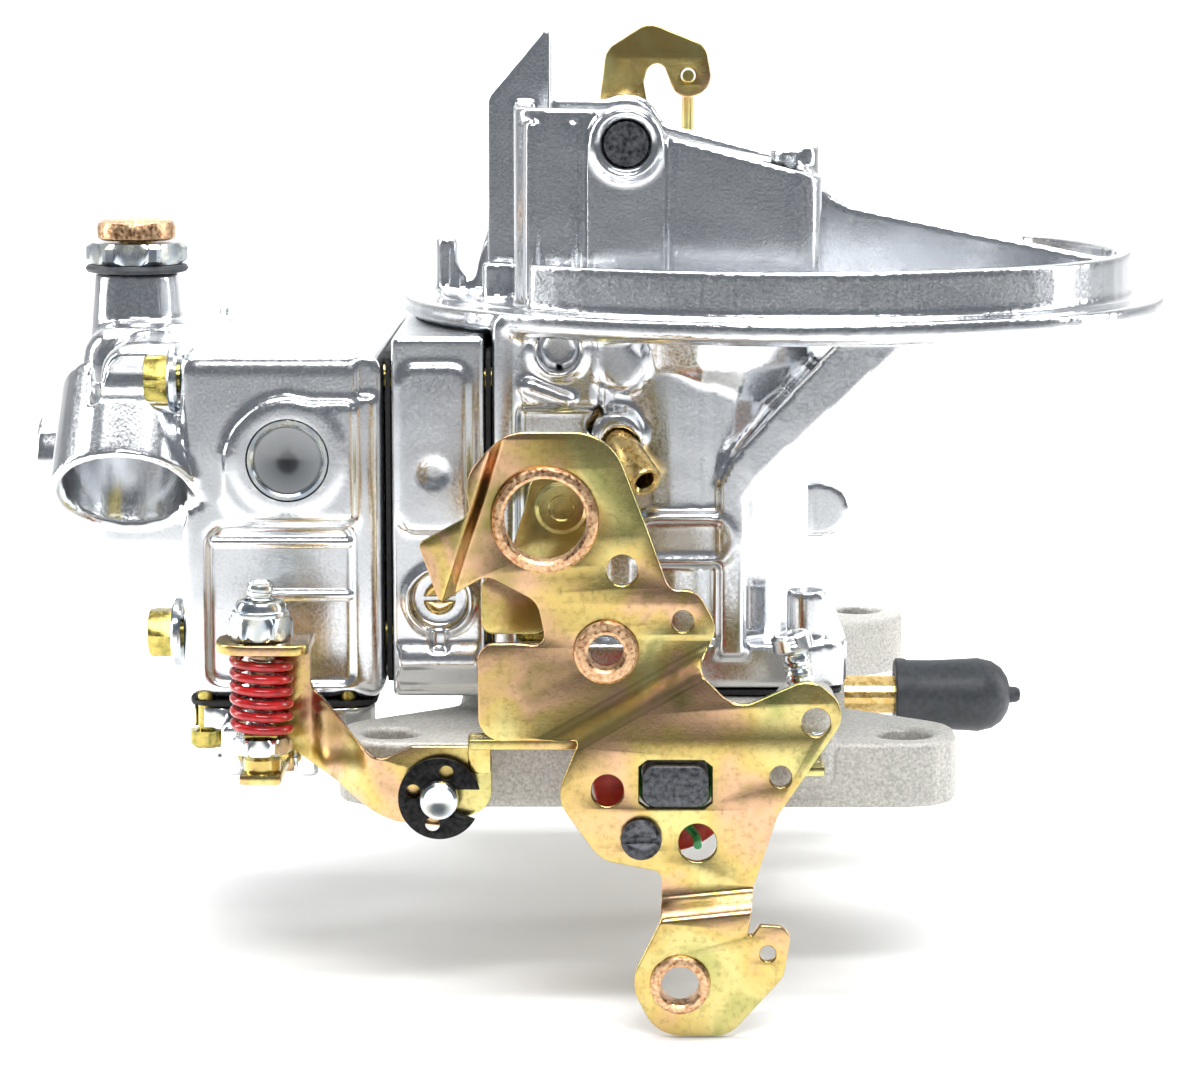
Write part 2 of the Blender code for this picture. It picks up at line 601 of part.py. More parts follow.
def fuel_bowl():
    body = slab("fuel_bowl", BOWL_FRONT, BOWL_REAR, 0, BOWL_FLOOR, BOWL_TOP, 3.0)
    nose = block("bowl_nose", (-105.5, -17, 30), (BOWL_FRONT + 6, 17, 78), 7.0, 4)
    shoulder = block("bowl_shoulder", (-99, -38, 56), (BOWL_FRONT + 4, 38, 76.5), 6.0, 4)
    neck = rod("needle_neck", (TOWER_X, 0, 70), (TOWER_X, 0, 86.6), 9.4, 7.9)
    front = rod("front_boss", (-95, -4, 52.5), (-114.5, -4, 52.5), 8.4, 7.6)
    join(body, nose, shoulder, neck, front)
    for side in (-1, 1):
        mouth = Vector((INLET_X, side * INLET_Y, INLET_Z))
        join(body, rod(f"inlet_boss_{side}", mouth, mouth - inlet_axis(side) * 22, 13.4, 12.8, 32))
    join(body, rod("sight_ring", (-63.6, -BOWL_SIDE - 1.4, 58), (-63.6, -44, 58), 10.0, sides=32))
    cavity = block("float_chamber", (BOWL_FRONT + BOWL_WALL, -46.2, 18), (-40, 46.2, 71.8), 2.0)
    front_cavity = block("front_chamber", (-103.0, -10.0, 33), (BOWL_FRONT + 6, 10.0, 72), 2.0)
    seat_hole = rod("needle_seat_hole", (TOWER_X, 0, 60), (TOWER_X, 0, 100), 5.6 + GAP)
    cut(body, cavity, front_cavity, seat_hole)
    for side in (-1, 1):
        mouth = Vector((INLET_X, side * INLET_Y, INLET_Z))
        inward = -inlet_axis(side)
        cut(body, rod(f"inlet_bore_{side}", mouth - inward * 5, mouth + inward * 17, 11.1, sides=32))
    cut(body, rod("sight_hole", (-63.6, -60, 58), (-63.6, -43, 58), 6.0 + GAP))
    join(body, rod("pump_dome", (PUMP_X, DIAPHRAGM_Y, 14.5), (PUMP_X, DIAPHRAGM_Y, 22.0), 16.4))
    cut(body, rod("pump_well", (PUMP_X, DIAPHRAGM_Y, 10), (PUMP_X, DIAPHRAGM_Y, 20.4), 14.0))
    cut(body, block("hinge_notch", (-104.0, -8.4, 49), (-98.5, 8.4, 55)))
    cut(body, rod("float_pin_seat", (-101.2, -11.8, 52), (-101.2, 11.8, 52), 0.9 + GAP, sides=12))
    screw_holes(body, -95, -40, "bowl")
    for i, x in enumerate((-79, -53.5)):
        for j, y in enumerate((-47, -18)):
            cut(body, rod(f"cover_hole_{i}_{j}", (x, y, 10), (x, y, 17.2), 1.6 + GAP, sides=12))
    for i, z in enumerate(BOWL_SCREW_Z):
        for side in (-1, 1):
            y = side * BOWL_SCREW_Y
            cut(body, rod(f"head_seat_{i}_{side}", (-99, y, z), (BOWL_FRONT, y, z), 7.2))
    keep(body, BRIGHT_CASTING)


def bowl_screws():
    number = 0
    for side in (-1, 1):
        for z in BOWL_SCREW_Z:
            number += 1
            y = side * BOWL_SCREW_Y
            screw = rod(f"bowl_screw_{number}", (-89.6, y, z), (-85.2, y, z), 4.7, sides=6)
            washer = rod(f"screw_washer_{number}", (-85.2, y, z), (BOWL_FRONT - GAP, y, z), 6.2)
            shank = rod(f"screw_shank_{number}", (-86, y, z), (-17, y, z), 2.4, sides=16)
            keep(join(screw, washer, shank), GOLD_ZINC)


def needle_and_seat():
    profile = [(0, 92.6), (3.2, 92.6), (3.2, 86), (5.6, 86), (5.6, 62.5), (0, 62.5)]
    body = turned("needle_seat", profile, (TOWER_X, 0, 0))
    keep(cut(body, rod("seat_bore", (TOWER_X, 0, 56), (TOWER_X, 0, 76), 2.2, sides=16)), BRASS)
    nut = rod("needle_seat_nut", (TOWER_X, 0, 88.5), (TOWER_X, 0, 92.4), 9.6, sides=6)
    keep(cut(nut, rod("nut_bore", (TOWER_X, 0, 80), (TOWER_X, 0, 96), 3.2 + GAP)), BRIGHT_ZINC)
    keep(rod("needle_lock_screw", (TOWER_X, 0, 92.9), (TOWER_X, 0, 96.6), 7.35, sides=32), COPPER_FINISH)
    carrier = pivot("needle_axis", TOWER_X, 0, 60)
    needle = turned("inlet_needle", [(0, 63.4), (1.7, 60), (1.7, 53.9), (0, 53.9)], (TOWER_X, 0, 0), sides=12)
    keep(needle, BRASS, carrier)


def float_assembly():
    carrier = pivot("float_axis", -101.2, 0, 52)
    body = block("float", (-74.0, -34, 37), (-50.5, 34, 55), 4.0, 3)
    arm = block("float_arm", (-98, -3.5, 52.0), (-72, 3.5, 53.4))
    eye = rod("float_eye", (-101.2, -5.5, 52), (-101.2, 5.5, 52), 2.0, sides=16)
    arm_root = block("float_arm_root", (-101.5, -3.5, 51.3), (-97, 3.5, 53.4))
    join(body, arm, arm_root, eye)
    pin_hole = rod("float_pin_hole", (-101.2, -9, 52), (-101.2, 9, 52), 0.9 + GAP, sides=12)
    keep(cut(body, pin_hole), FLOAT_BRASS, carrier)
    keep(rod("float_pin", (-101.2, -11.4, 52), (-101.2, 11.4, 52), 0.9, sides=12), STEEL)


def sight_plug():
    profile = [(0, 49.4), (4.2, 49.4), (6.0, 50.2), (6.0, 46.6), (0, 46.6)]
    keep(turned("sight_plug", profile, (-63.6, 0, 58), (0, -1, 0), 20), STEEL)


def pump_outline(margin):
    x_low, x_high, y_low, y_high = -82 + margin, -48.5 - margin, -50 + margin, -13 - margin
    return rounded([(x_low, y_low, 5), (x_high, y_low, 5), (x_high, y_high, 5), (x_low, y_high, 5)])


def pump_parts():
    screws = [(x, y) for x in (-79, -53.5) for y in (-47, -18)]
    holes = [circle(x, y, 1.9, 12) for x, y in screws]
    hub = circle(PUMP_X, DIAPHRAGM_Y, 2.3, 16)
    keep(plate("pump_diaphragm", pump_outline(0), 12.8, 13.6, holes + [hub], "XY"), GASKET_PAPER)
    well = circle(PUMP_X, DIAPHRAGM_Y, 8.5, 24)
    cover = plate("pump_cover", pump_outline(0.3), 8.4, 12.5, holes + [well], "XY")
    for i, x in enumerate((PUMP_X - 6.6, PUMP_X + 6.6)):
        lug = block(f"arm_lug_{i}", (x - 2, -61, 2.2), (x + 2, -48.5, 11.8), 0.8)
        join(cover, lug)
    near_end, far_end = (-80, ARM_PIN_Y, ARM_PIN_Z), (-50, ARM_PIN_Y, ARM_PIN_Z)
    cut(cover, rod("arm_pin_hole", near_end, far_end, 1.7 + GAP, sides=16))
    cut(cover, block("arm_notch", (PUMP_X - 4.5, -52, 8), (PUMP_X + 4.5, -40, 11.4)))
    keep(cover, BRIGHT_CASTING)
    near_end, far_end = (PUMP_X - 9.4, ARM_PIN_Y, ARM_PIN_Z), (PUMP_X + 9.4, ARM_PIN_Y, ARM_PIN_Z)
    keep(rod("pump_arm_pin", near_end, far_end, 1.7, sides=16), BRIGHT_ZINC)
    for i, (x, y) in enumerate(screws):
        head = rod(f"pump_cover_screw_{i + 1}", (x, y, 5.0), (x, y, 8.1), 3.0, sides=14)
        shank = rod(f"cover_shank_{i}", (x, y, 6), (x, y, 16.9), 1.5, sides=8)
        keep(join(head, shank), BRASS)
    plunger_axis = pivot("plunger_axis", PUMP_X, DIAPHRAGM_Y, 12)
    profile = [(0, 14.8), (8.5, 14.8), (8.5, 14.0), (2.0, 14.0), (2.0, 12.0)]
    profile += [(4.5, 12.0), (4.5, 8.2), (0, 8.2)]
    keep(turned("pump_plunger", profile, (PUMP_X, DIAPHRAGM_Y, 0), sides=20), BRIGHT_ZINC, plunger_axis)
    arm_axis = pivot("pump_arm_axis", PUMP_X, ARM_PIN_Y, ARM_PIN_Z)
    arm = block("pump_arm", (PUMP_X - 3.6, -79, 4.6), (PUMP_X + 3.6, -36, 6.4))
    near_end, far_end = (PUMP_X - 4.1, ARM_PIN_Y, ARM_PIN_Z), (PUMP_X + 4.1, ARM_PIN_Y, ARM_PIN_Z)
    eye = rod("arm_eye", near_end, far_end, 2.9, sides=16)
    pad = rod("arm_pad", (PUMP_X, PUMP_Y, 4.6), (PUMP_X, PUMP_Y, 8.9), 3.2, sides=16)
    join(arm, eye, pad)
    pin_bore = rod("arm_bore", (-80, ARM_PIN_Y, ARM_PIN_Z), (-50, ARM_PIN_Y, ARM_PIN_Z), 1.7 + GAP, sides=16)
    keep(cut(arm, pin_bore), GOLD_ZINC, arm_axis)


def pump_lever(carrier):
    """A strap that swings on its pin, with a bracket for the spring bolt and a tongue on the cam."""
    x, z = PUMP_PIN
    outline = rounded([
        (-65.5, 28.6, 0), (-58.4, 28.6, 0), (-58.4, 19.7, 3), (-46, 9.6, 4), (-40, 12.5, 1), (-26.5, 12.5, 2),
        (-26.5, 2.2, 4), (x + 1, z - 5.4, 4.5), (-43, -0.5, 4), (-57, 5.5, 5), (-65.5, 11.5, 3),
    ])
    strap = plate("pump_lever", outline, -68.3, -68.3 + SHEET, [circle(x, z, 2.2 + GAP, 16)])
    fold(strap, (-58.5, 0), (1, 0), 13.5, -15.6)
    shelf = rounded([(-74, -81, 6), (-57.8, -81, 3), (-57.8, -66.6, 0), (-74, -66.6, 5)])
    flange = plate("nut_shelf", shelf, 27.4, 27.4 + SHEET, [circle(PUMP_X, PUMP_Y, 2.4 + GAP, 16)], "XY")
    tongue_outline = rounded([(-30, -89.3, 0), (-9.5, -89.3, 3), (-9.5, -84.0, 3), (-30, -84.0, 0)])
    tongue = plate("cam_tongue", tongue_outline, 13.0, 13.0 + SHEET, (), "XY")
    root = block("tongue_root", (-30.5, -85.2, 8.0), (-26.6, -82.4, 14.7), 0.5)
    return keep(join(strap, flange, root, tongue), GOLD_ZINC, carrier)


def helix(x, y, low, high, radius, turns, steps=10):
    count = int(turns * steps)
    for i in range(count + 1):
        angle = 2 * math.pi * i / steps
        yield x + radius * math.cos(angle), y + radius * math.sin(angle), low + (high - low) * i / count


def pump_linkage():
    x, z = PUMP_PIN
    carrier = pivot("pump_lever_axis", x, -84, z)
    pump_lever(carrier)
    pin = rod("pump_lever_pin", (x, -87.8, z), (x, -70, z), 2.2, sides=20)
    head = rod("pin_head", (x, -88.9, z), (x, -87.2, z), 3.3, sides=24)
    keep(join(pin, head), BRIGHT_ZINC)
    gap_outline = [(x, z - 1.4), (x + 9, z - 4.6), (x + 9, z + 1.6), (x + 1.2, z + 1.6)]
    clip = plate("pump_lever_clip", circle(x, z, 7.0, 32), -86.5, -85.6, [circle(x, z, 2.2 + GAP, 16)])
    keep(cut(clip, plate("clip_gap", gap_outline, -88, -84)), BLACK_OXIDE)
    bolt = rod("pump_bolt", (PUMP_X, PUMP_Y, 9.4), (PUMP_X, PUMP_Y, 12.2), 5.2, sides=6)
    shank = rod("bolt_shank", (PUMP_X, PUMP_Y, 11), (PUMP_X, PUMP_Y, 39.6), 2.4, 2.4, 16)
    keep(join(bolt, shank), BRIGHT_ZINC, carrier)
    nut = rod("pump_nut", (PUMP_X, PUMP_Y, 29.4), (PUMP_X, PUMP_Y, 33.4), 5.6, sides=6)
    collar = rod("nut_collar", (PUMP_X, PUMP_Y, 33), (PUMP_X, PUMP_Y, 36), 4.9, 4.2)
    bore = rod("nut_thread", (PUMP_X, PUMP_Y, 28), (PUMP_X, PUMP_Y, 38), 2.4 + GAP, sides=16)
    keep(cut(join(nut, collar), bore), BRIGHT_ZINC, carrier)
    coil = list(helix(PUMP_X, PUMP_Y, 13.6, 25.9, 4.7, 6.5))
    keep(wire("pump_spring", coil, 1.0), RED_PAINT, carrier)


def lever_outline():
    """The throttle lever's edge, clockwise from its top."""
    return rounded([
        (-24, 67.0, 9), (-6.5, 67.0, 9), (0.0, 50.0, 8), (3.4, 40.6, 2), (8.0, 40.6, 4.5), (11.6, 34.0, 4.5),
        (8.2, 27.5, 2.5), (14.5, 21.0, 5), (27.0, 26.5, 4.6), (33.5, 21.0, 4.6), (21.5, 3.0, 8),
        (17.6, -9.0, 0), (16.4, -17.5, 1.5), (18.5, -14.5, 1), (24.0, -14.8, 3.4), (22.5, -23.5, 4),
        (13.5, -33.5, 5), (1.5, -33.5, 6.5), (-3.2, -24.5, 7), (2.0, -14.0, 3), (2.4, -6.5, 2),
        (-8.0, -4.5, 6), (-15.5, 6.0, 6), (-11.5, 16.0, 3), (-14.0, 15.2, 2), (-28.4, 14.8, 4),
        (-28.6, 31.5, 3), (-21.5, 31.5, 4), (-17.0, 31.0, 4), (-18.5, 38.5, 4), (-27.0, 43.0, 3),
        (-34.5, 38.5, 1.2), (-38.2, 48.8, 1.2), (-29.5, 53.5, 3), (-30.5, 60.0, 8),
    ])


def throttle_lever(carrier):
    holes = [
        circle(-17.2, 52.4, 7.1 + GAP, 32), circle(-4.4, 43.9, 2.6), circle(5.7, 35.3, 1.8, 16),
        circle(-7.1, 30.2, 3.2 + GAP, 24), circle(22.0, 9.8, 1.8, 16), circle(27.8, 19.0, 2.4, 16),
        circle(-6.8, 7.4, 2.7, 16), circle(-1.2, -0.7, 1.5 + GAP, 16), circle(8.2, -1.5, 3.2, 20),
        circle(5.3, -24.6, 3.4 + GAP, 24), circle(19.9, -19.4, 1.3, 12),
    ]
    half = 6.0
    slot = [(BORE_X + a * half, SHAFT_Z + b * 4.0) for a, b in SLOT_CORNERS]
    lever = plate("throttle_lever", lever_outline(), LEVER_TOP_Y, LEVER_TOP_Y + SHEET, holes + [slot])
    fold(lever, (-3.0, 24.6), (0.5, -0.87), 5.0, LEVER_MID_Y - LEVER_TOP_Y)
    fold(lever, (10, -9.6), (0.1, -1), 4.0, LEVER_END_Y - LEVER_MID_Y)
    fold(lever, (-30.0, 46.0), (-0.95, 0.3), 2.0, -3.2)
    tang = block("stop_tang", (24.4, LEVER_MID_Y + 1, 9.6), (29.4, -79.4, 11.3), 0.4)
    keep(join(lever, tang), GOLD_ZINC, carrier)
    spots = [("cable", -17.2, 52.4, LEVER_TOP_Y, 8.9, 6.85, 7.1)]
    spots.append(("kickdown", -7.1, 30.2, LEVER_TOP_Y, 5.4, 2.9, 3.2))
    spots.append(("lower", 5.3, -24.6, LEVER_END_Y, 5.0, 3.15, 3.4))
    for name, x, z, y, outer, inner, neck in spots:
        profile = [(neck, 2.4), (neck, -0.3), (outer, -0.3), (outer, -1.5), (inner, -1.5), (inner, 2.4)]
        keep(turned(f"{name}_bushing", profile, (x, y, z), (0, 1, 0), 20), COPPER_FINISH, carrier)


def throttle_assembly():
    carrier = pivot("throttle_axis", BORE_X, 0, SHAFT_Z)
    shaft = rod("throttle_shaft", (BORE_X, -92.0, SHAFT_Z), (BORE_X, 66.0, SHAFT_Z), SHAFT_RADIUS)
    low, high = (BORE_X - 5.6, -97.2, SHAFT_Z - 3.6), (BORE_X + 5.6, -89.5, SHAFT_Z + 3.6)
    neck = block("shaft_flats", low, high, 1.4)
    low, high = (BORE_X - 10, -44.5, SHAFT_Z - 0.9 - GAP), (BORE_X + 10, 44.5, SHAFT_Z + 0.9 + GAP)
    slot = block("plate_slot", low, high)
    join(shaft, neck)
    cut(shaft, slot)
    keep(shaft, STEEL, carrier)
    for i, y in enumerate((-BORE_Y, BORE_Y)):
        low, high = (BORE_X, y, SHAFT_Z - 0.8), (BORE_X, y, SHAFT_Z + 0.8)
        keep(rod(f"throttle_plate_{i + 1}", low, high, 18.5, sides=28), BRASS, carrier)
    throttle_lever(carrier)
    cam_outline = []
    for i in range(36):
        angle = math.radians(10 * i)
        radius = 12.2 + 1.7 * math.cos(angle - math.radians(200))
        cam_outline.append((BORE_X + radius * math.cos(angle), SHAFT_Z + radius * math.sin(angle)))
    cam_holes = [circle(BORE_X, SHAFT_Z, 8.2, 24), circle(-1.2, -0.7, 1.5 + GAP, 12)]
    cam = plate("pump_cam", cam_outline, -89.3, -84.6, cam_holes)
    keep(cam, RED_NYLON, carrier)
    screw = rod("pump_cam_screw", (-1.2, -97.6, -0.7), (-1.2, LEVER_MID_Y - GAP, -0.7), 3.4, sides=24)
    shank = rod("cam_screw_shank", (-1.2, -96, -0.7), (-1.2, -85.5, -0.7), 1.5, sides=16)
    slot = block("cam_screw_slot", (-6, -99, -1.2), (4, -97.0, -0.2))
    keep(cut(join(screw, shank), slot), STEEL, carrier)
    keep(return_spring(), SPRING_WIRE, carrier)


def return_spring():
    """A torsion spring round the shaft, hooked in the lever and behind the idle screw lug."""
    coil = []
    steps = 12
    for i in range(int(3.25 * steps) + 1):
        angle = 2 * math.pi * i / steps - math.pi / 2
        y = -89.0 + 8.0 * i / (3.25 * steps)
        coil.append((BORE_X + 6.4 * math.cos(angle), y, SHAFT_Z + 6.4 * math.sin(angle)))
    hook = [(8.2, -97.0, -1.5), (8.2, -91.6, -1.5), (7.0, -90.2, 0.0)]
    tail = [(17.5, -80.8, 8.6), (20.5, -80.8, 9.0)]
    return wire("return_spring", hook + coil + tail, 0.7, 0)


def idle_speed_screw():
    top, tip = (Vector(end) for end in idle_screw_axis())
    along = (tip - top).normalized()
    carrier = pivot("idle_speed_axis", *top)
    head = rod("idle_speed_screw", top - along * 2.6, top + along * 0.4, 3.5, sides=24)
    shank = rod("idle_shank", top, tip - along * 0.6, 2.4, sides=16)
    keep(join(head, shank), BRIGHT_ZINC, carrier)


def side_lever():
    """A stamped lever on the near side of the main body, on its own shoulder screw."""
    outline = rounded([
        (-20, 57, 5), (-8.5, 57, 5.5), (-8.5, 46, 6), (-15, 40, 4), (-17.5, 28, 3),
        (-29, 28, 2), (-29, 37, 2), (-24, 42, 4), (-21.5, 50, 4),
    ])
    carrier = pivot("side_lever_axis", -15, -60, 50.5)
    lever = plate("kickdown_lever", outline, -62, -62 + SHEET, [circle(-15, 50.5, 2.6 + GAP, 16)])
    keep(lever, GOLD_ZINC, carrier)
    profile = [(0, 63.8), (4.6, 63.8), (4.6, 62.4), (2.6, 62.4), (2.6, 49.4), (2.0, 49.4), (2.0, 41), (0, 41)]
    keep(turned("kickdown_pivot_screw", profile, (-15, 0, 50.5), (0, -1, 0), 20), GOLD_ZINC)


def choke_assembly():
    carrier = pivot("choke_axis", CHOKE_X, 0, CHOKE_Z)
    shaft = rod("choke_shaft", (CHOKE_X, -39.9, CHOKE_Z), (CHOKE_X, 47.5, CHOKE_Z), 3.2)
    join(shaft, rod("choke_shaft_end", (CHOKE_X, -40.3, CHOKE_Z), (CHOKE_X, -39.3, CHOKE_Z), 4.0))
    run = Vector((math.cos(CHOKE_SLOPE), 0, -math.sin(CHOKE_SLOPE)))
    centre = Vector((CHOKE_X, 0, CHOKE_Z))
    there = Matrix.Translation(centre * MM)
    turn = there @ Matrix.Rotation(CHOKE_SLOPE, 4, "Y") @ there.inverted()
    slot = block("choke_slot", (CHOKE_X - 9, -34.7, CHOKE_Z - 0.9), (CHOKE_X + 9, 34.7, CHOKE_Z + 0.9))
    slot.data.transform(turn)
    keep(cut(shaft, slot), STEEL, carrier)
    front, rear = CHOKE_X - 16.0, CHOKE_X + 31.2
    vent_notch, stud_notch = CHOKE_X - 12.8, CHOKE_X + 25.0
    half = [(vent_notch, -12.0, 1.0), (front, -12.0, 1.0), (front, -34.2, 3.5), (rear, -34.2, 3.5)]
    half += [(rear, -6.8, 1.0), (stud_notch, -6.8, 3.0)]
    outline = rounded(half + [(x, -y, r) for x, y, r in reversed(half)])
    choke = plate("choke_plate", outline, CHOKE_Z - 0.6, CHOKE_Z + 0.6, (), "XY")
    choke.data.transform(turn)
    keep(choke, BRIGHT_ZINC, carrier)
    eye = (CHOKE_X + 12.4, CHOKE_Z + 10.4)
    outline = rounded([
        (CHOKE_X - 6.5, CHOKE_Z - 5, 5), (CHOKE_X + 6, CHOKE_Z - 5, 4), (CHOKE_X + 3.5, CHOKE_Z + 9, 1),
        (CHOKE_X + 4.4, CHOKE_Z + 12.5, 3), (eye[0] - 5, eye[1] + 2.5, 3), (eye[0] - 2, eye[1] - 5.5, 4),
        (eye[0] + 5, eye[1] - 2.5, 4), (eye[0] + 3.5, eye[1] + 6.0, 4),
        (CHOKE_X + 4.5, CHOKE_Z + 21.0, 4), (CHOKE_X - 4, CHOKE_Z + 15.5, 4),
    ])
    holes = [circle(CHOKE_X, CHOKE_Z, 3.2 + GAP, 20), circle(*eye, 1.2 + GAP, 12)]
    keep(plate("choke_lever", outline, 44.4, 44.4 + SHEET, holes), GOLD_ZINC, carrier)
    link_axis = pivot("choke_link_axis", eye[0], 45, eye[1])
    low_eye = (eye[0], 45 + 10.4)
    bend = [(eye[0], 43.4, eye[1]), (eye[0], 47.0, eye[1]), (eye[0], 48.2, eye[1] - 1.4)]
    bend += [(eye[0], 53.4, 107.5), (eye[0], 53.9, 105), (eye[0], 53.9, low_eye[1] + 1.4)]
    bend += [(eye[0], 52.6, low_eye[1]), (eye[0], 50.1, low_eye[1])]
    keep(wire("choke_link", bend, 1.15), GOLD_ZINC, link_axis)
    control = pivot("choke_control_axis", CHOKE_X, 51, 45)
    arm = rounded([
        (CHOKE_X - 6, 39.5, 5), (CHOKE_X + 5, 39.5, 5), (low_eye[0] + 4, low_eye[1] - 4, 3.5),
        (low_eye[0] + 3, low_eye[1] + 4, 3.5), (low_eye[0] - 4, low_eye[1] + 3, 3),
        (CHOKE_X, 51, 6), (CHOKE_X - 12, 52.5, 4), (CHOKE_X - 13.5, 44.5, 4),
    ])
    holes = [circle(CHOKE_X, 45, 2.6 + GAP, 16), circle(*low_eye, 1.2 + GAP, 12)]
    holes.append(circle(CHOKE_X - 9.4, 48.2, 1.6, 12))
    keep(plate("choke_control_lever", arm, 50.5, 50.5 + SHEET, holes), GOLD_ZINC, control)
    profile = [(0, 54.2), (4.6, 54.2), (4.6, 52.6), (2.6, 52.6), (2.6, 49.4), (2.0, 49.4), (2.0, 41), (0, 41)]
    keep(turned("choke_pivot_screw", profile, (CHOKE_X, 0, 45), (0, 1, 0), 20), BRIGHT_ZINC)


def boosters():
    """Small venturis hung in the barrels, and the pump's discharge nozzle between them."""
    for i, y in enumerate((-BORE_Y, BORE_Y)):
        profile = [(7.6, 72), (6.4, 56), (5.0, 56), (4.6, 64), (6.2, 72)]
        booster = turned(f"booster_{i + 1}", profile, (BORE_X, y, 0), sides=16)
        leg = rod(f"booster_leg_{i}", (-13.6, y, 66), (BORE_X - 5.6, y, 66), 2.2, sides=12)
        keep(join(booster, leg), BRIGHT_ZINC)
    nozzle = block("discharge_nozzle", (-8.6, -1.9, 79.4), (-2.6, 1.9, 86), 0.5)
    tips = rod("nozzle_tips", (-4.6, -8, 84), (-4.6, 8, 84), 1.1, sides=12)
    keep(join(nozzle, tips), BRIGHT_ZINC)


throttle_body()
base_gasket()
main_body()
brass_nipple()
vacuum_port()
face_gasket("metering_gasket", BLOCK_REAR + GAP)
metering_block()
idle_mixture_screws()
face_gasket("bowl_gasket", BOWL_REAR + GAP)
fuel_bowl()
bowl_screws()
needle_and_seat()
float_assembly()
sight_plug()
pump_parts()
pump_linkage()
throttle_assembly()
idle_speed_screw()
side_lever()
choke_assembly()
boosters()
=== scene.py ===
"""Two-barrel carburetor: the finished look of every piece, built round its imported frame.

Sizes are in millimetres and MM turns them to metres. +Z is up, -X the fuel bowl end, and -Y the
throttle lever side. Each operator makes one piece or a group of like pieces.
"""

import math

import bmesh
import bpy
from mathutils import Matrix, Vector


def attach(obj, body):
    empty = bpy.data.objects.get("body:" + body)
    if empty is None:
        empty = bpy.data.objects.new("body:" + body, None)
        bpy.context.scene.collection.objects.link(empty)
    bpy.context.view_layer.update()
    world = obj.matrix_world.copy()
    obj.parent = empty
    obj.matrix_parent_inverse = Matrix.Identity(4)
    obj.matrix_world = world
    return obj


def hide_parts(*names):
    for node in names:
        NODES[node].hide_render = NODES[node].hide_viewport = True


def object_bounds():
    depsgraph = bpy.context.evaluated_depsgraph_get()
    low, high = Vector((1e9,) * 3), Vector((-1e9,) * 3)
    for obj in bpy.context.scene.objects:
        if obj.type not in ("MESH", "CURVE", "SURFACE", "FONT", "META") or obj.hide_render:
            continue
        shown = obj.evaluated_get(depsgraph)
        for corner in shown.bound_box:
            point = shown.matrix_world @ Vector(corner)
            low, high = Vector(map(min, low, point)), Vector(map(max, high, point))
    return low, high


bl_info = {
    "name": "Two-barrel carburetor",
    "version": (1, 0, 0),
    "blender": (4, 5, 0),
    "location": "View3D > Sidebar > Carburetor",
    "description": "Builds the castings, levers, fasteners, springs and studio of a carburetor",
    "category": "Add Mesh",
}

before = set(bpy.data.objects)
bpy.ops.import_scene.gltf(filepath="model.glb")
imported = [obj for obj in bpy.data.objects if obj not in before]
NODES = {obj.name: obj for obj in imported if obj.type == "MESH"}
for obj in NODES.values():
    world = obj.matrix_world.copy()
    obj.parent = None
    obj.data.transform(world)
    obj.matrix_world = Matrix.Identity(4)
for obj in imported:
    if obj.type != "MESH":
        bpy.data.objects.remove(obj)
CAD_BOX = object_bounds()

MM = 0.001
UP = (0, 0, 1)
SHARP = math.radians(33)
WELD = 2e-6
MOST_FACES = 185000
PLANES = {
    "XY": Matrix.Identity(4),
    "XZ": Matrix(((1, 0, 0, 0), (0, 0, -1, 0), (0, 1, 0, 0), (0, 0, 0, 1))),
}

# Places shared by several pieces
BORE_X, SHAFT_Z = 4.5, 8.4
CHOKE_X, CHOKE_Z = -3.8, 112.4
PUMP_X, PUMP_Y = -66.4, -74.0
PUMP_PIN = (-35.3, 4.0)
SCREW_Y, SCREW_Z = 42.5, (25.0, 71.0)
TOWER_X = -96.3
IDLE_X, IDLE_Z = -37, 32
SIGHT_X, SIGHT_Z = -63.6, 57.2
CABLE, KICKDOWN, LOWER = (-17.2, 52.4), (-7.1, 30.2), (5.3, -24.6)
CAM_SCREW = (-1.2, -0.7)
SIDE_PIVOT = (-15, 50.5)
SHEET = 1.7
LEVER_TOP, LEVER_MID, LEVER_END = -91.5, -95.5, -99.5


def colour(code):
    """An sRGB hex colour as linear RGBA."""
    parts = [int(code[i : i + 2], 16) / 255 for i in (1, 3, 5)]
    return (*[p / 12.92 if p <= 0.04045 else ((p + 0.055) / 1.055) ** 2.4 for p in parts], 1)


def per(size):
    """The scale of a pattern on object coordinates whose features are this many millimetres."""
    return 1 / (size * MM)


def add(tree, kind, inputs=None, **settings):
    """Add a node with its settings, and set or link its inputs."""
    made = tree.nodes.new(kind)
    for key, value in settings.items():
        setattr(made, key, value)
    for key, value in (inputs or {}).items():
        if isinstance(value, bpy.types.NodeSocket):
            tree.links.new(value, made.inputs[key])
        else:
            made.inputs[key].default_value = value
    return made


def ramp(node, stops):
    """Set a colour ramp's stops, as (place, hex colour) pairs."""
    elements = node.color_ramp.elements
    while len(elements) < len(stops):
        elements.new(0.5)
    for element, (place, code) in zip(elements, stops):
        element.position = place
        element.color = colour(code)


class Finish:
    """A Principled material under way: its tree, its object coordinates and its shader."""

    def __init__(self, name, **values):
        self.material = bpy.data.materials.new(name)
        self.material.use_nodes = True
        self.tree = self.material.node_tree
        self.shader = self.tree.nodes["Principled BSDF"]
        for key, value in values.items():
            self.shader.inputs[key.replace("_", " ")].default_value = value
        self.place = self.add("ShaderNodeTexCoord").outputs["Object"]

    def add(self, kind, inputs=None, **settings):
        return add(self.tree, kind, inputs, **settings)

    def feed(self, name, socket):
        self.tree.links.new(socket, self.shader.inputs[name])


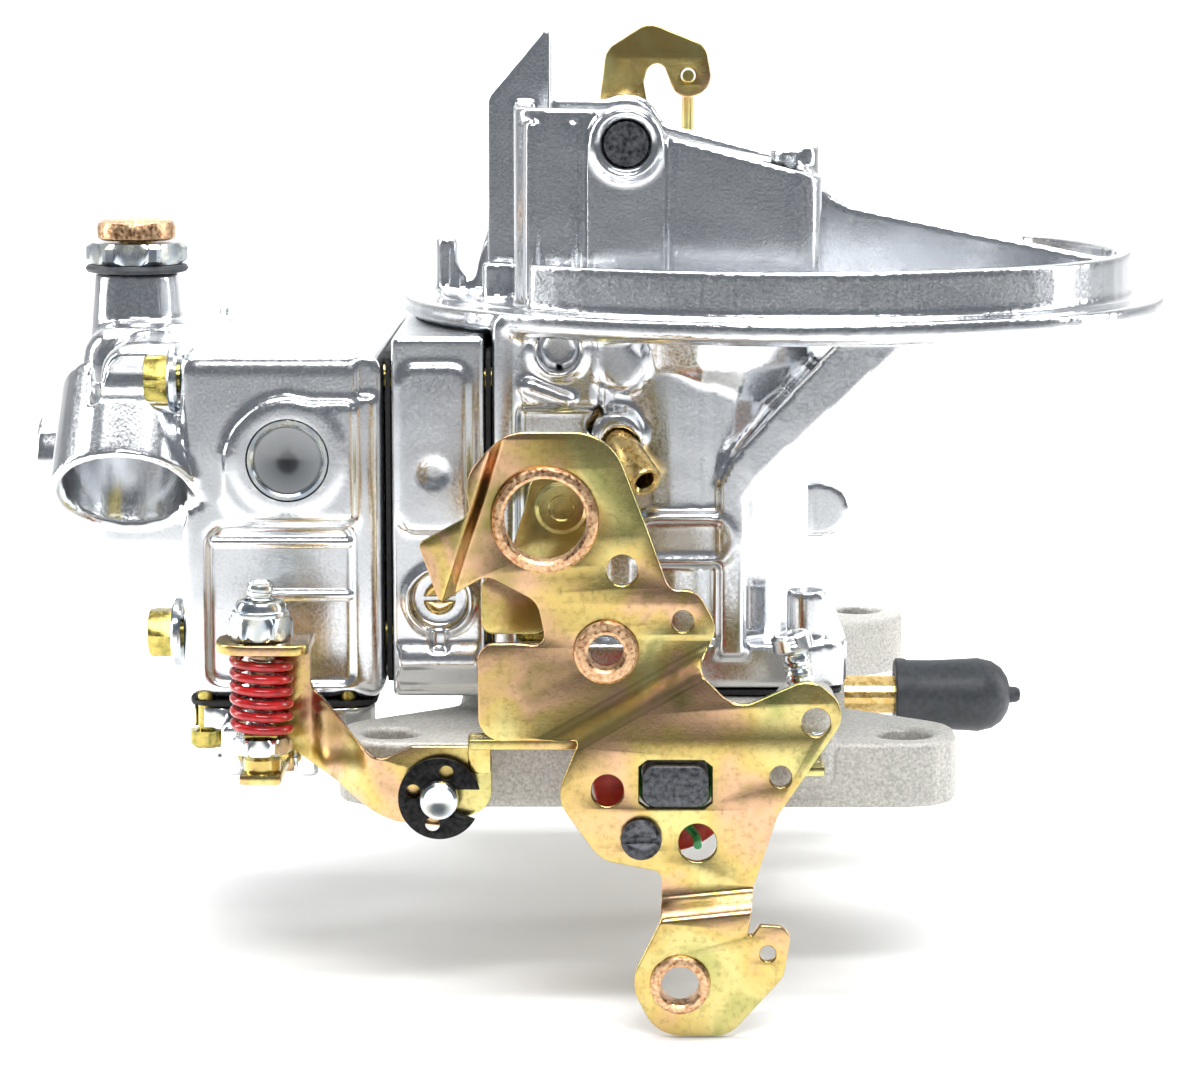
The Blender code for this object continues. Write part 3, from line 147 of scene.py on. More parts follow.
def tumbled_casting(settings):
    """Die-cast aluminium tumbled in media: bright, with a fine sparkle, and edges lightened partly as rubbed wear
    and partly as a painted highlight.

    Its real grain is finer than 0.5 mm, and is drawn that coarse so that it shows.
    """
    finish = Finish("tumbled_die_cast_aluminium", Metallic=1.0)
    patch = finish.add("ShaderNodeTexNoise", {"Vector": finish.place, "Scale": per(11), "Detail": 3.0})
    grain = finish.add("ShaderNodeTexNoise", {"Vector": finish.place, "Scale": per(0.5), "Detail": 2.0})
    tone = finish.add("ShaderNodeMix", {"Factor": patch.outputs["Fac"]}, data_type="RGBA")
    tone.inputs["A"].default_value = (*[0.8 * part for part in settings.cast_colour], 1)
    tone.inputs["B"].default_value = (*settings.cast_colour, 1)
    # Painted highlight, partly real wear: convex edges found by pointiness are lightened to near white, both for
    # edges rubbed bright by tumbling and for the bright lines light draws along them.
    shape = finish.add("ShaderNodeNewGeometry")
    rubbed_and_highlit_edges = finish.add(
        "ShaderNodeMapRange", {"Value": shape.outputs["Pointiness"], "From Min": 0.52, "From Max": 0.6},
    )
    edge = finish.add(
        "ShaderNodeMix", {"Factor": rubbed_and_highlit_edges.outputs["Result"], "A": tone.outputs["Result"]}, data_type="RGBA",
    )
    edge.inputs["B"].default_value = colour("#FDFDFC")
    finish.feed("Base Color", edge.outputs["Result"])
    rough = finish.add(
        "ShaderNodeMapRange", {"Value": grain.outputs["Fac"], "From Min": 0.3, "From Max": 0.7},
    )
    rough.inputs["To Min"].default_value = 0.13
    rough.inputs["To Max"].default_value = 0.27
    finish.feed("Roughness", rough.outputs["Result"])
    wave = finish.add("ShaderNodeTexNoise", {"Vector": finish.place, "Scale": per(13), "Detail": 1.0})
    soft = finish.add("ShaderNodeBump", {"Height": wave.outputs["Fac"], "Strength": 0.3, "Distance": 0.0005})
    fine = finish.add(
        "ShaderNodeBump", {"Height": grain.outputs["Fac"], "Strength": 0.3, "Distance": 0.00004},
    )
    tree = finish.tree
    tree.links.new(soft.outputs["Normal"], fine.inputs["Normal"])
    finish.feed("Normal", fine.outputs["Normal"])
    return finish.material


def sand_casting():
    """Shot-blasted aluminium casting: matt, light and evenly grainy, its grain drawn coarse so that it shows."""
    finish = Finish("blasted_cast_aluminium", Metallic=0.75)
    grain = finish.add("ShaderNodeTexNoise", {"Vector": finish.place, "Scale": per(0.5), "Detail": 3.0})
    tone = finish.add("ShaderNodeValToRGB", {"Fac": grain.outputs["Fac"]})
    ramp(tone, [(0.3, "#A3A19C"), (0.72, "#D0CEC8")])
    finish.feed("Base Color", tone.outputs["Color"])
    rough = finish.add("ShaderNodeMapRange", {"Value": grain.outputs["Fac"], "To Min": 0.5, "To Max": 0.72})
    finish.feed("Roughness", rough.outputs["Result"])
    bump = finish.add(
        "ShaderNodeBump", {"Height": grain.outputs["Fac"], "Strength": 0.7, "Distance": 0.00022},
    )
    finish.feed("Normal", bump.outputs["Normal"])
    return finish.material


def gold_zinc(settings):
    """Yellow zinc dichromate on pressed steel: gold that drifts to green, pink and brown."""
    finish = Finish("yellow_zinc_plated_steel", Metallic=1.0)
    drift = finish.add(
        "ShaderNodeTexNoise", {"Vector": finish.place, "Scale": per(20), "Detail": 3.0, "Distortion": 0.6},
    )
    hue = finish.add("ShaderNodeValToRGB", {"Fac": drift.outputs["Fac"]})
    ramp(hue, [(0.30, "#879455"), (0.40, "#CFC283"), (0.50, "#C6A964"), (0.58, "#D0A089"), (0.68, "#7A7040")])
    speck = finish.add(
        "ShaderNodeTexNoise", {"Vector": finish.place, "Scale": per(1.0), "Detail": 6.0, "Roughness": 0.65},
    )
    dirt = finish.add(
        "ShaderNodeMapRange", {"Value": speck.outputs["Fac"], "From Min": 0.5, "From Max": 0.72},
    )
    dirt.inputs["To Max"].default_value = 0.45
    gold = finish.add("ShaderNodeMix", {"Factor": 0.25, "A": hue.outputs["Color"]}, data_type="RGBA")
    gold.inputs["B"].default_value = (*settings.gold_colour, 1)
    mottled = finish.add(
        "ShaderNodeMix", {"Factor": dirt.outputs["Result"], "A": gold.outputs["Result"]}, data_type="RGBA",
    )
    mottled.inputs["B"].default_value = colour("#6E6B38")
    finish.feed("Base Color", mottled.outputs["Result"])
    rough = finish.add("ShaderNodeMapRange", {"Value": speck.outputs["Fac"], "To Min": 0.12, "To Max": 0.34})
    finish.feed("Roughness", rough.outputs["Result"])
    bump = finish.add(
        "ShaderNodeBump", {"Height": speck.outputs["Fac"], "Strength": 0.25, "Distance": 0.00008},
    )
    finish.feed("Normal", bump.outputs["Normal"])
    return finish.material


def grained_metal(name, dark, light, size, low, high, depth=0.00006):
    """A metal whose colour and gloss vary over grains of one size."""
    finish = Finish(name, Metallic=1.0)
    grain = finish.add("ShaderNodeTexNoise", {"Vector": finish.place, "Scale": per(size), "Detail": 3.0})
    tone = finish.add("ShaderNodeValToRGB", {"Fac": grain.outputs["Fac"]})
    ramp(tone, [(0.33, dark), (0.66, light)])
    finish.feed("Base Color", tone.outputs["Color"])
    rough = finish.add(
        "ShaderNodeMapRange", {"Value": grain.outputs["Fac"], "From Min": 0.3, "From Max": 0.7},
    )
    rough.inputs["To Min"].default_value = low
    rough.inputs["To Max"].default_value = high
    finish.feed("Roughness", rough.outputs["Result"])
    bump = finish.add("ShaderNodeBump", {"Height": grain.outputs["Fac"], "Strength": 0.5, "Distance": depth})
    finish.feed("Normal", bump.outputs["Normal"])
    return finish.material


def skin(name, dark, light, size, roughness, depth=0.00004, **values):
    """A painted, moulded or paper surface: a faint mottle and a fine bump under one gloss."""
    finish = Finish(name, Roughness=roughness, **values)
    grain = finish.add("ShaderNodeTexNoise", {"Vector": finish.place, "Scale": per(size), "Detail": 3.0})
    tone = finish.add("ShaderNodeValToRGB", {"Fac": grain.outputs["Fac"]})
    ramp(tone, [(0.35, dark), (0.65, light)])
    finish.feed("Base Color", tone.outputs["Color"])
    bump = finish.add("ShaderNodeBump", {"Height": grain.outputs["Fac"], "Strength": 0.4, "Distance": depth})
    finish.feed("Normal", bump.outputs["Normal"])
    return finish.material


def sight_glass():
    """Smoked acrylic: grey, with painted shade of the dark hole behind it making it darkest at its middle."""
    finish = Finish("smoked_acrylic", Roughness=0.16, Metallic=0.0, Coat_Weight=0.6)
    centred = finish.add("ShaderNodeMapping", {"Vector": finish.place})
    centred.inputs["Location"].default_value = Vector((63.6, 50, -56.6)) * MM * per(7.5)
    centred.inputs["Scale"].default_value = (per(7.5), per(7.5), per(7.5))
    # Painted shade: the dark hole seen through the lens, darkest at its middle, over the glass's own grey.
    disc = finish.add(
        "ShaderNodeTexGradient", {"Vector": centred.outputs["Vector"]}, gradient_type="SPHERICAL",
    )
    tone = finish.add("ShaderNodeValToRGB", {"Fac": disc.outputs["Fac"]})
    ramp(tone, [(0.1, "#8E9194"), (0.45, "#7C7F82"), (0.68, "#6A6D70"), (0.8, "#3A3C3F"), (1.0, "#232427")])
    finish.feed("Base Color", tone.outputs["Color"])
    return finish.material


# Each metal's name, dark and light colour, grain in mm, least and most roughness, and bump in metres
METALS = {
    # Copper-toned bushings, peened over, so their faces are rough.
    "copper_finish": ("copper_toned_bushing", "#B5805A", "#EBC9A0", 0.7, 0.22, 0.5, 0.00016),
    # Clear zinc: cool and bright, with a faint blue and straw bloom.
    "bright_zinc": ("clear_zinc_plated_steel", "#C3CDDA", "#E6E7DC", 2.6, 0.14, 0.3),
    # Drawn and turned brass: warm yellow with a soft gloss.
    "brass": ("drawn_brass", "#C9A55E", "#E8CC8E", 1.2, 0.2, 0.38),
    # Yellow zinc on screws: patchier and more olive than on the levers.
    "old_gold": ("olive_zinc_plated_screw", "#8F8A48", "#D9C26E", 2.2, 0.18, 0.35),
    # Steel under a film of oil: dark grey and satin.
    "dark_steel": ("oiled_steel", "#37383C", "#6A6C70", 0.9, 0.38, 0.6, 0.0001),
    # Black oxide: nearly black, with a satin sheen.
    "black_oxide": ("black_oxide_steel", "#1B1B1B", "#343434", 0.9, 0.35, 0.55),
}
# The same for what is not metal, with one roughness
SKINS = {
    # Gasket paper: dark, fibrous and matt.
    "gasket": ("gasket_paper", "#131314", "#242426", 0.8, 0.75, 0.0001),
    # Moulded rubber: dark grey with a dull gloss.
    "rubber": ("moulded_rubber", "#2A2D31", "#383B40", 1.1, 0.5, 0.00006),
    # Moulded nylon: brick red and slightly waxy.
    "red_nylon": ("red_moulded_nylon", "#9C1C10", "#B8301C", 1.4, 0.42),
    # Coated spring wire: green, even and half glossy.
    "green_wire": ("green_coated_wire", "#1E6A35", "#2F8A48", 1.5, 0.35),
    # Closed-cell foam: dark brown and pitted, with no shine.
    "float_foam": ("closed_cell_foam", "#1F1D1B", "#332F2B", 0.9, 0.8, 0.0003),
}
MATERIALS = {}


def materials(context):
    """Every finish, made once and kept by the slot it belongs to."""
    if MATERIALS:
        return MATERIALS
    settings = context.scene.carburetor_finishes
    MATERIALS["bright_casting"] = tumbled_casting(settings)
    MATERIALS["sand_casting"] = sand_casting()
    MATERIALS["gold_zinc"] = gold_zinc(settings)
    for slot, values in METALS.items():
        MATERIALS[slot] = grained_metal(*values)
    for slot, values in SKINS.items():
        MATERIALS[slot] = skin(*values)
    # Dipped red paint: thick and wet-looking on the wire.
    MATERIALS["red_paint"] = skin(
        "red_dipped_paint", "#8E0D12", "#BE161A", 1.6, 0.26, 0.0001, Coat_Weight=0.3,
    )
    MATERIALS["sight_glass"] = sight_glass()
    return MATERIALS


def linked(name, data):
    """A new object in the scene, at the origin."""
    made = bpy.data.objects.new(name, data)
    bpy.context.scene.collection.objects.link(made)
    return made


def shade(mesh, angle=SHARP):
    """Shade a mesh smooth, but for its edges sharper than an angle."""
    mesh.shade_smooth()
    mesh.set_sharp_from_angle(angle=angle)


def cover(obj, material):
    """Give a piece one material in place of those it has."""
    obj.data.materials.clear()
    obj.data.materials.append(material)


def span(side, near, far):
    """The low and high Y between two distances from the middle, on one side."""
    return sorted((side * near, side * far))


def new_object(name, form, material=None):
    """A closed shape made into an object at the origin, with its normals outward."""
    bmesh.ops.remove_doubles(form, verts=form.verts, dist=1e-7)
    bmesh.ops.recalc_face_normals(form, faces=form.faces)
    mesh = bpy.data.meshes.new(name)
    form.to_mesh(mesh)
    form.free()
    shade(mesh)
    if material:
        mesh.materials.append(material)
    return linked(name, mesh)


def settle(obj):
    """Apply an object's modifiers to its mesh."""
    graph = bpy.context.evaluated_depsgraph_get()
    mesh = bpy.data.meshes.new_from_object(obj.evaluated_get(graph))
    obj.modifiers.clear()
    obj.data = mesh
    return obj


def lathe(name, profile, centre, axis, material=None, sides=48, flats=None):
    """Spin (radius, height) points about an axis. flats is (count, half width across) of a polygon."""
    place = Matrix.Translation(Vector(centre)) @ Vector(axis).to_track_quat("Z", "Y").to_matrix().to_4x4()
    form = bmesh.new()
    rings = []
    for radius, height in profile:
        ring = []
        for i in range(sides if radius else 1):
            angle = 2 * math.pi * i / sides
            reach = radius
            if flats:
                step = 2 * math.pi / flats[0]
                reach = min(radius, flats[1] / math.cos(angle % step - step / 2))
            point = (reach * math.cos(angle), reach * math.sin(angle), height)
            ring.append(form.verts.new(place @ Vector(point) * MM))
        rings.append(ring)
    closed = profile[0][0] > 0
    for i in range(len(rings) - (0 if closed else 1)):
        first, second = rings[i], rings[(i + 1) % len(rings)]
        for j in range(sides):
            k = (j + 1) % sides
            around = [(first, j), (first, k), (second, k), (second, j)]
            corners = list(dict.fromkeys(ring[n % len(ring)] for ring, n in around))
            if len(corners) > 2:
                form.faces.new(corners)
    return new_object(name, form, material)


def circle(x, y, radius, sides=48):
    turns = [2 * math.pi * i / sides for i in range(sides)]
    return [(x + radius * math.cos(turn), y + radius * math.sin(turn)) for turn in turns]


def rounded(corners, steps=8):
    """An outline through (x, y, radius) corners, each turned by an arc of its radius."""
    points = []
    for i, (x, y, radius) in enumerate(corners):
        here = Vector((x, y))
        back = Vector(corners[i - 1][:2]) - here
        ahead = Vector(corners[(i + 1) % len(corners)][:2]) - here
        half = back.angle(ahead) / 2
        if radius == 0 or half > 1.5:
            points.append((x, y))
            continue
        reach = min(radius / math.tan(half), back.length * 0.49, ahead.length * 0.49)
        arc = reach * math.tan(half)
        middle = here + (back.normalized() + ahead.normalized()).normalized() * arc / math.sin(half)
        first = here + back.normalized() * reach - middle
        sweep = first.angle_signed(here + ahead.normalized() * reach - middle)
        points += [
            tuple(middle + Matrix.Rotation(-sweep * step / steps, 2) @ first) for step in range(steps + 1)
        ]
    return points


def curve_mesh(name, curve, place, material=None):
    """The mesh of a curve, with its caps welded on."""
    source = linked(name, curve)
    graph = bpy.context.evaluated_depsgraph_get()
    mesh = bpy.data.meshes.new_from_object(source.evaluated_get(graph))
    mesh.transform(place)
    form = bmesh.new()
    form.from_mesh(mesh)
    bpy.data.objects.remove(source)
    bmesh.ops.remove_doubles(form, verts=form.verts, dist=1e-6)
    return new_object(name, form, material)


def plate(name, outline, low, high, holes=(), plane="XZ", edge=0.0, material=None):
    """A flat outline with holes between two places along the plane's normal, its edge rounded."""
    curve = bpy.data.curves.new(name, "CURVE")
    curve.dimensions = "2D"
    curve.fill_mode = "BOTH"
    curve.extrude = ((high - low) / 2 - edge) * MM
    curve.bevel_depth = edge * MM
    curve.bevel_resolution = 2
    curve.offset = -edge * MM
    for loop in (outline, *holes):
        spline = curve.splines.new("POLY")
        spline.points.add(len(loop) - 1)
        for point, (x, y) in zip(spline.points, loop):
            point.co = (x * MM, y * MM, 0, 1)
        spline.use_cyclic_u = True
    middle = (high + low) / 2 * MM * (-1 if plane == "XZ" else 1)
    return curve_mesh(name, curve, PLANES[plane] @ Matrix.Translation((0, 0, middle)), material)


def bend(obj, point, direction, run, step, slices=8):
    """Step a sheet in Y past a line in the XZ plane, through a smooth double bend."""
    normal = Vector((direction[0], 0, direction[1])).normalized()
    start = Vector((point[0], 0, point[1]))
    form = bmesh.new()
    form.from_mesh(obj.data)
    for i in range(slices + 1):
        everything = form.verts[:] + form.edges[:] + form.faces[:]
        line = (start + normal * run * i / slices) * MM
        bmesh.ops.bisect_plane(form, geom=everything, plane_co=line, plane_no=normal, dist=1e-7)
    for vert in form.verts:
        past = min(max((vert.co / MM - start).dot(normal) / run, 0), 1)
        vert.co.y += step * past * past * (3 - 2 * past) * MM
    bmesh.ops.triangulate(form, faces=form.faces[:])
    form.to_mesh(obj.data)
    form.free()
    shade(obj.data)
    return obj


def tube(name, points, radius, material=None):
    """A round wire along points."""
    curve = bpy.data.curves.new(name, "CURVE")
    curve.dimensions = "3D"
    curve.bevel_depth = radius * MM
    curve.bevel_resolution = 5
    curve.use_fill_caps = True
    spline = curve.splines.new("NURBS")
    spline.points.add(len(points) - 1)
    for point, place in zip(spline.points, points):
        point.co = (*(Vector(place) * MM), 1)
    spline.order_u = 3
    spline.use_endpoint_u = True
    spline.resolution_u = 6
    return curve_mesh(name, curve, Matrix.Identity(4), material)


def block(name, low, high, edge=0.0, material=None):
    """A box between two corners, with rounded edges."""
    low, high = Vector(low), Vector(high)
    form = bmesh.new()
    place = Matrix.Translation((low + high) / 2 * MM) @ Matrix.Diagonal((*((high - low) * MM), 1))
    bmesh.ops.create_cube(form, size=1, matrix=place)
    if edge:
        bmesh.ops.bevel(form, geom=form.edges[:], offset=edge * MM, segments=2, profile=0.5, affect="EDGES")
    return new_object(name, form, material)


def rod(name, start, end, radius, end_radius=None, edge=0.0, sides=48):
    """A round bar or cone from start to end, its rims rounded."""
    start, end = Vector(start), Vector(end)
    length = (end - start).length
    last = radius if end_radius is None else end_radius
    profile = [(radius, 0), (last, length)]
    if edge:
        profile = [(radius - edge, 0), (radius, edge), (last, length - edge), (last - edge, length)]
    return lathe(name, [(0, 0), *profile, (0, length)], start, end - start, sides=sides)


def modify(target, operation, tools):
    """Join or cut shapes by Boolean, and remove the tools."""
    for tool in tools:
        step = target.modifiers.new(operation, "BOOLEAN")
        step.operation = operation
        step.solver = "EXACT"
        step.object = tool
    settle(target)
    for tool in tools:
        bpy.data.objects.remove(tool)
    return target


def merge(name, pieces, material=None):
    """Several closed shapes as one object, keeping each one's material."""
    finishes = [material] if material else []
    form = bmesh.new()
    for piece in pieces:
        own = material or piece.data.materials[0]
        if own not in finishes:
            finishes.append(own)
        for face in piece.data.polygons:
            face.material_index = finishes.index(own)
        form.from_mesh(piece.data)
    mesh = bpy.data.meshes.new(name)
    form.to_mesh(mesh)
    form.free()
    for own in finishes:
        mesh.materials.append(own)
    for piece in pieces:
        bpy.data.objects.remove(piece)
    return linked(name, mesh)


def solid_copy(name, node):
    """A CAD node's mesh, merged into one closed shape that can be worked on."""
    form = bmesh.new()
    form.from_mesh(NODES[node].data)
    bmesh.ops.remove_doubles(form, verts=form.verts, dist=WELD)
    return new_object(name, form)


def cast(context, node, slot, joined=(), cuts=(), fineness=1.0, rounds=None):
    """A casting: its CAD shape with the cast-in details, all edges rounded by tumbling."""
    settings = context.scene.carburetor_casting
    body = solid_copy(f"{node}_casting", node)
    if joined:
        modify(body, "UNION", joined)
    if cuts:
        modify(body, "DIFFERENCE", cuts)
    remesh = body.modifiers.new("Skin", "REMESH")
    remesh.mode = "VOXEL"
    remesh.voxel_size = settings.fineness * fineness * 1
    smooth = body.modifiers.new("Tumble", "SMOOTH")
    smooth.factor = 0.5
    smooth.iterations = rounds or settings.rounds
    settle(body)
    faces = 2 * len(body.data.polygons)
    if faces > MOST_FACES:
        thin = body.modifiers.new("Thin", "DECIMATE")
        thin.ratio = MOST_FACES / faces
        settle(body)
    cover(body, materials(context)[slot])
    body.data.shade_smooth()
    return body


def keep(obj, body, slot, *nodes):
    """Hang a finished piece on its body, in place of its CAD nodes."""
    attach(obj, body)
    if nodes:
        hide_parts(*nodes)
    return obj


def dress(node, material, edge=0.0):
    """Keep a CAD node's own shape, with a finish and softened edges."""
    obj = NODES[node]
    cover(obj, material)
    if edge:
        weld = obj.modifiers.new("Weld", "WELD")
        weld.merge_threshold = WELD
        soften = obj.modifiers.new("Edges", "BEVEL")
        soften.width = edge * MM
        soften.segments = 2
        soften.limit_method = "ANGLE"
        soften.angle_limit = math.radians(40)
        soften.harden_normals = True


def socket(tree, name, kind, in_out="INPUT"):
    return tree.interface.new_socket(name=name, in_out=in_out, socket_type=kind)


def start_tree(name, labels, kind="NodeSocketFloat"):
    """A geometry node tree with a Geometry input, named inputs of one kind and a Material."""
    tree = bpy.data.node_groups.new(name, "GeometryNodeTree")
    socket(tree, "Geometry", "NodeSocketGeometry")
    for label in labels:
        socket(tree, label, kind)
    socket(tree, "Material", "NodeSocketMaterial")
    socket(tree, "Geometry", "NodeSocketGeometry", "OUTPUT")
    return tree, add(tree, "NodeGroupInput").outputs


def end_tree(tree, geometry, inputs):
    """Realize what a tree makes and give it its material."""
    real = add(tree, "GeometryNodeRealizeInstances", {"Geometry": geometry})
    done = add(tree, "GeometryNodeSetMaterial", {"Geometry": real.outputs[0], "Material": inputs["Material"]})
    add(tree, "NodeGroupOutput", {"Geometry": done.outputs[0]})
    return tree


def wind(tree, given, steps, sides, size):
    """A wire of one size wound along Z by the tree's turns, radius and length."""
    helix = add(tree, "GeometryNodeCurveSpiral", {
        "Resolution": steps, "Rotations": given["Turns"], "Start Radius": given["Radius"],
        "End Radius": given["Radius"], "Height": given["Length"],
    })
    section = add(tree, "GeometryNodeCurvePrimitiveCircle", {"Resolution": sides, "Radius": size})
    wire = add(tree, "GeometryNodeCurveToMesh", {
        "Curve": helix.outputs[0], "Profile Curve": section.outputs[0], "Fill Caps": True,
    })
    return wire.outputs[0]


def coil_tree():
    """A compression spring."""
    tree, given = start_tree("Coil", ("Turns", "Radius", "Length", "Wire"))
    return end_tree(tree, wind(tree, given, 48, 14, given["Wire"]), given)


def thread_tree():
    """A threaded shank: a ridge wound on a core."""
    tree, given = start_tree("Thread", ("Turns", "Radius", "Length", "Ridge"))
    ridge = wind(tree, given, 28, 4, given["Ridge"])
    size = {"Vertices": 32, "Radius": given["Radius"], "Depth": given["Length"]}
    core = add(tree, "GeometryNodeMeshCylinder", size).outputs["Mesh"]
    middle = add(tree, "ShaderNodeMath", {0: given["Length"], 1: 0.5}, operation="MULTIPLY")
    lift = add(tree, "ShaderNodeCombineXYZ", {"Z": middle.outputs[0]}).outputs[0]
    raised = add(tree, "GeometryNodeTransform", {"Geometry": core, "Translation": lift})
    both = add(tree, "GeometryNodeJoinGeometry")
    tree.links.new(ridge, both.inputs[0])
    tree.links.new(raised.outputs[0], both.inputs[0])
    return end_tree(tree, both.outputs[0], given)


def array_tree():
    """One fastener set at every point of a pattern."""
    tree, given = start_tree("Fasteners", ("Fastener",), "NodeSocketObject")
    item = add(tree, "GeometryNodeObjectInfo", {"Object": given["Fastener"]}).outputs["Geometry"]
    placed = add(tree, "GeometryNodeInstanceOnPoints", {"Points": given["Geometry"], "Instance": item})
    return end_tree(tree, placed.outputs[0], given)


def grow(name, tree, values, points=((0, 0, 0),), place=None):
    """Run a geometry node tree and keep its result as a plain mesh."""
    mesh = bpy.data.meshes.new(name)
    mesh.from_pydata([Vector(point) * MM for point in points], [], [])
    made = linked(name, mesh)
    step = made.modifiers.new(tree.name, "NODES")
    step.node_group = tree
    for item in tree.interface.items_tree:
        if item.item_type == "SOCKET" and item.in_out == "INPUT" and item.name in values:
            step[item.identifier] = values[item.name]
    settle(made)
    form = bmesh.new()
    form.from_mesh(made.data)
    bmesh.ops.transform(form, matrix=place or Matrix.Identity(4), verts=form.verts)
    bmesh.ops.recalc_face_normals(form, faces=form.faces)
    for face in form.faces:
        face.material_index = 0
    form.to_mesh(made.data)
    form.free()
    cover(made, values["Material"])
    shade(made.data)
    return made


def repeat(name, item, material, points):
    """One fastener at every point, as one mesh."""
    tree = bpy.data.node_groups.get("Fasteners") or array_tree()
    made = grow(name, tree, {"Fastener": item, "Material": material}, points)
    bpy.data.objects.remove(item)
    return made


def thread(name, start, end, radius, pitch, material):
    """A thread from start to end, its crests at the given radius."""
    start, end = Vector(start), Vector(end)
    length = (end - start).length
    place = Matrix.Translation(start * MM) @ (end - start).to_track_quat("Z", "Y").to_matrix().to_4x4()
    ridge = pitch * 0.42
    values = {
        "Turns": length / pitch, "Radius": (radius - ridge) * MM, "Length": length * MM,
        "Ridge": ridge * MM, "Material": material,
    }
    return grow(name, bpy.data.node_groups.get("Thread") or thread_tree(), values, place=place)


class CarburetorFinishes(bpy.types.PropertyGroup):
    """Colours of the main metals."""

    cast_colour: bpy.props.FloatVectorProperty(
        name="Casting", description="Tumbled aluminium", subtype="COLOR", default=colour("#EEF0F3")[:3],
        min=0, max=1,
    )
    gold_colour: bpy.props.FloatVectorProperty(
        name="Gold zinc", description="Plating on the levers", subtype="COLOR", default=colour("#CBB874")[:3],
        min=0, max=1,
    )


class CarburetorCasting(bpy.types.PropertyGroup):
    """How the castings are skinned."""

    fineness: bpy.props.FloatProperty(
        name="Fineness", description="Smallest cast detail", default=0.0006, unit="LENGTH", min=0.0003,
        max=0.003,
    )
    rounds: bpy.props.IntProperty(
        name="Tumbling", description="How far tumbling has rounded the edges", default=4, min=1, max=40,
    )


class CarburetorSprings(bpy.types.PropertyGroup):
    """The pump spring."""

    turns: bpy.props.FloatProperty(
        name="Turns", description="Turns of the pump spring", default=5.6, min=2, max=12,
    )
    wire: bpy.props.FloatProperty(
        name="Wire radius", description="Half the pump spring's wire", default=0.0008, unit="LENGTH",
        min=0.0003, max=0.0014,
    )


class CarburetorStudio(bpy.types.PropertyGroup):
    """The floor and lights."""

    floor_colour: bpy.props.FloatVectorProperty(
        name="Floor", description="The plain floor", subtype="COLOR", default=colour("#F4F4F3")[:3], min=0,
        max=1,
    )
    key_power: bpy.props.FloatProperty(
        name="Softbox", description="Power of the overhead softbox", default=5.2, unit="POWER", min=0, max=100,
    )


def lever_edge():
    """The throttle lever's outline, clockwise from its top."""
    return rounded([
        (-24, 67.0, 9), (-6.5, 67.0, 9), (0.0, 50.0, 8), (3.4, 40.6, 2), (8.0, 40.6, 4.5), (11.6, 34.0, 4.5),
        (8.2, 27.5, 2.5), (14.5, 21.0, 5), (27.0, 26.5, 4.6), (33.5, 21.0, 4.6), (21.5, 3.0, 8),
        (17.6, -9.0, 0), (16.4, -17.5, 1.5), (18.5, -14.5, 1), (24.0, -14.8, 3.4), (22.5, -23.5, 4),
        (13.5, -33.5, 5), (1.5, -33.5, 6.5), (-3.2, -24.5, 7), (2.0, -14.0, 3), (2.4, -6.5, 2),
        (-8.0, -4.5, 6), (-15.5, 6.0, 6), (-11.5, 16.0, 3), (-14.0, 15.2, 2), (-28.4, 14.8, 4),
        (-28.6, 31.5, 3), (-21.5, 31.5, 4), (-17.0, 31.0, 4), (-18.5, 38.5, 4), (-27.0, 43.0, 3),
        (-34.5, 38.5, 1.2), (-38.2, 48.8, 1.2), (-29.5, 53.5, 3), (-30.5, 60.0, 8),
    ])


def side_details(side):
    """Cast bosses and ribs on one side of the main body: what is joined, and what is cut."""

    def flat(name, outline, height, edge=0.3):
        return plate(name, outline, *span(side, 49 + height, 45), edge=edge)

    low, high = span(side, 49.9, 45)
    strip = block("front_strip", (-27.3, low, 58.9), (-23.0, high, 82.0), 0.8)
    plug = rod("plug_rim", (-15.7, side * 46, 76.4), (-15.7, side * 50.2, 76.4), 5.3, 5.0, 0.6)
    slanted = rounded([(-22.2, 69.4, 0.8), (-13.6, 66.2, 0.8), (-13.0, 68.2, 0.8), (-21.4, 71.6, 0.8)])
    boss = rounded([(-8.6, 69.3, 4.5), (-1.0, 69.3, 3.6), (-1.0, 78.7, 3.6), (-8.6, 78.7, 1.0)])
    joined = [strip, plug, flat("slanted_rib", slanted, 1.1), flat("d_boss", boss, 1.3, 0.7)]
    outer = rounded([(-3, 38.4, 4.4), (15.8, 38.4, 4.4), (15.8, 47.4, 4.4), (-3, 47.4, 4.4)])
    inner = rounded([(-2, 39.4, 3.4), (14.8, 39.4, 3.4), (14.8, 46.4, 3.4), (-2, 46.4, 3.4)])
    joined.append(plate("pad_rim", outer, *span(side, 50.1, 46), [inner], edge=0.2))
    return joined, [rod("plug_hole", (-15.7, side * 44, 76.4), (-15.7, side * 53, 76.4), 3.7)]


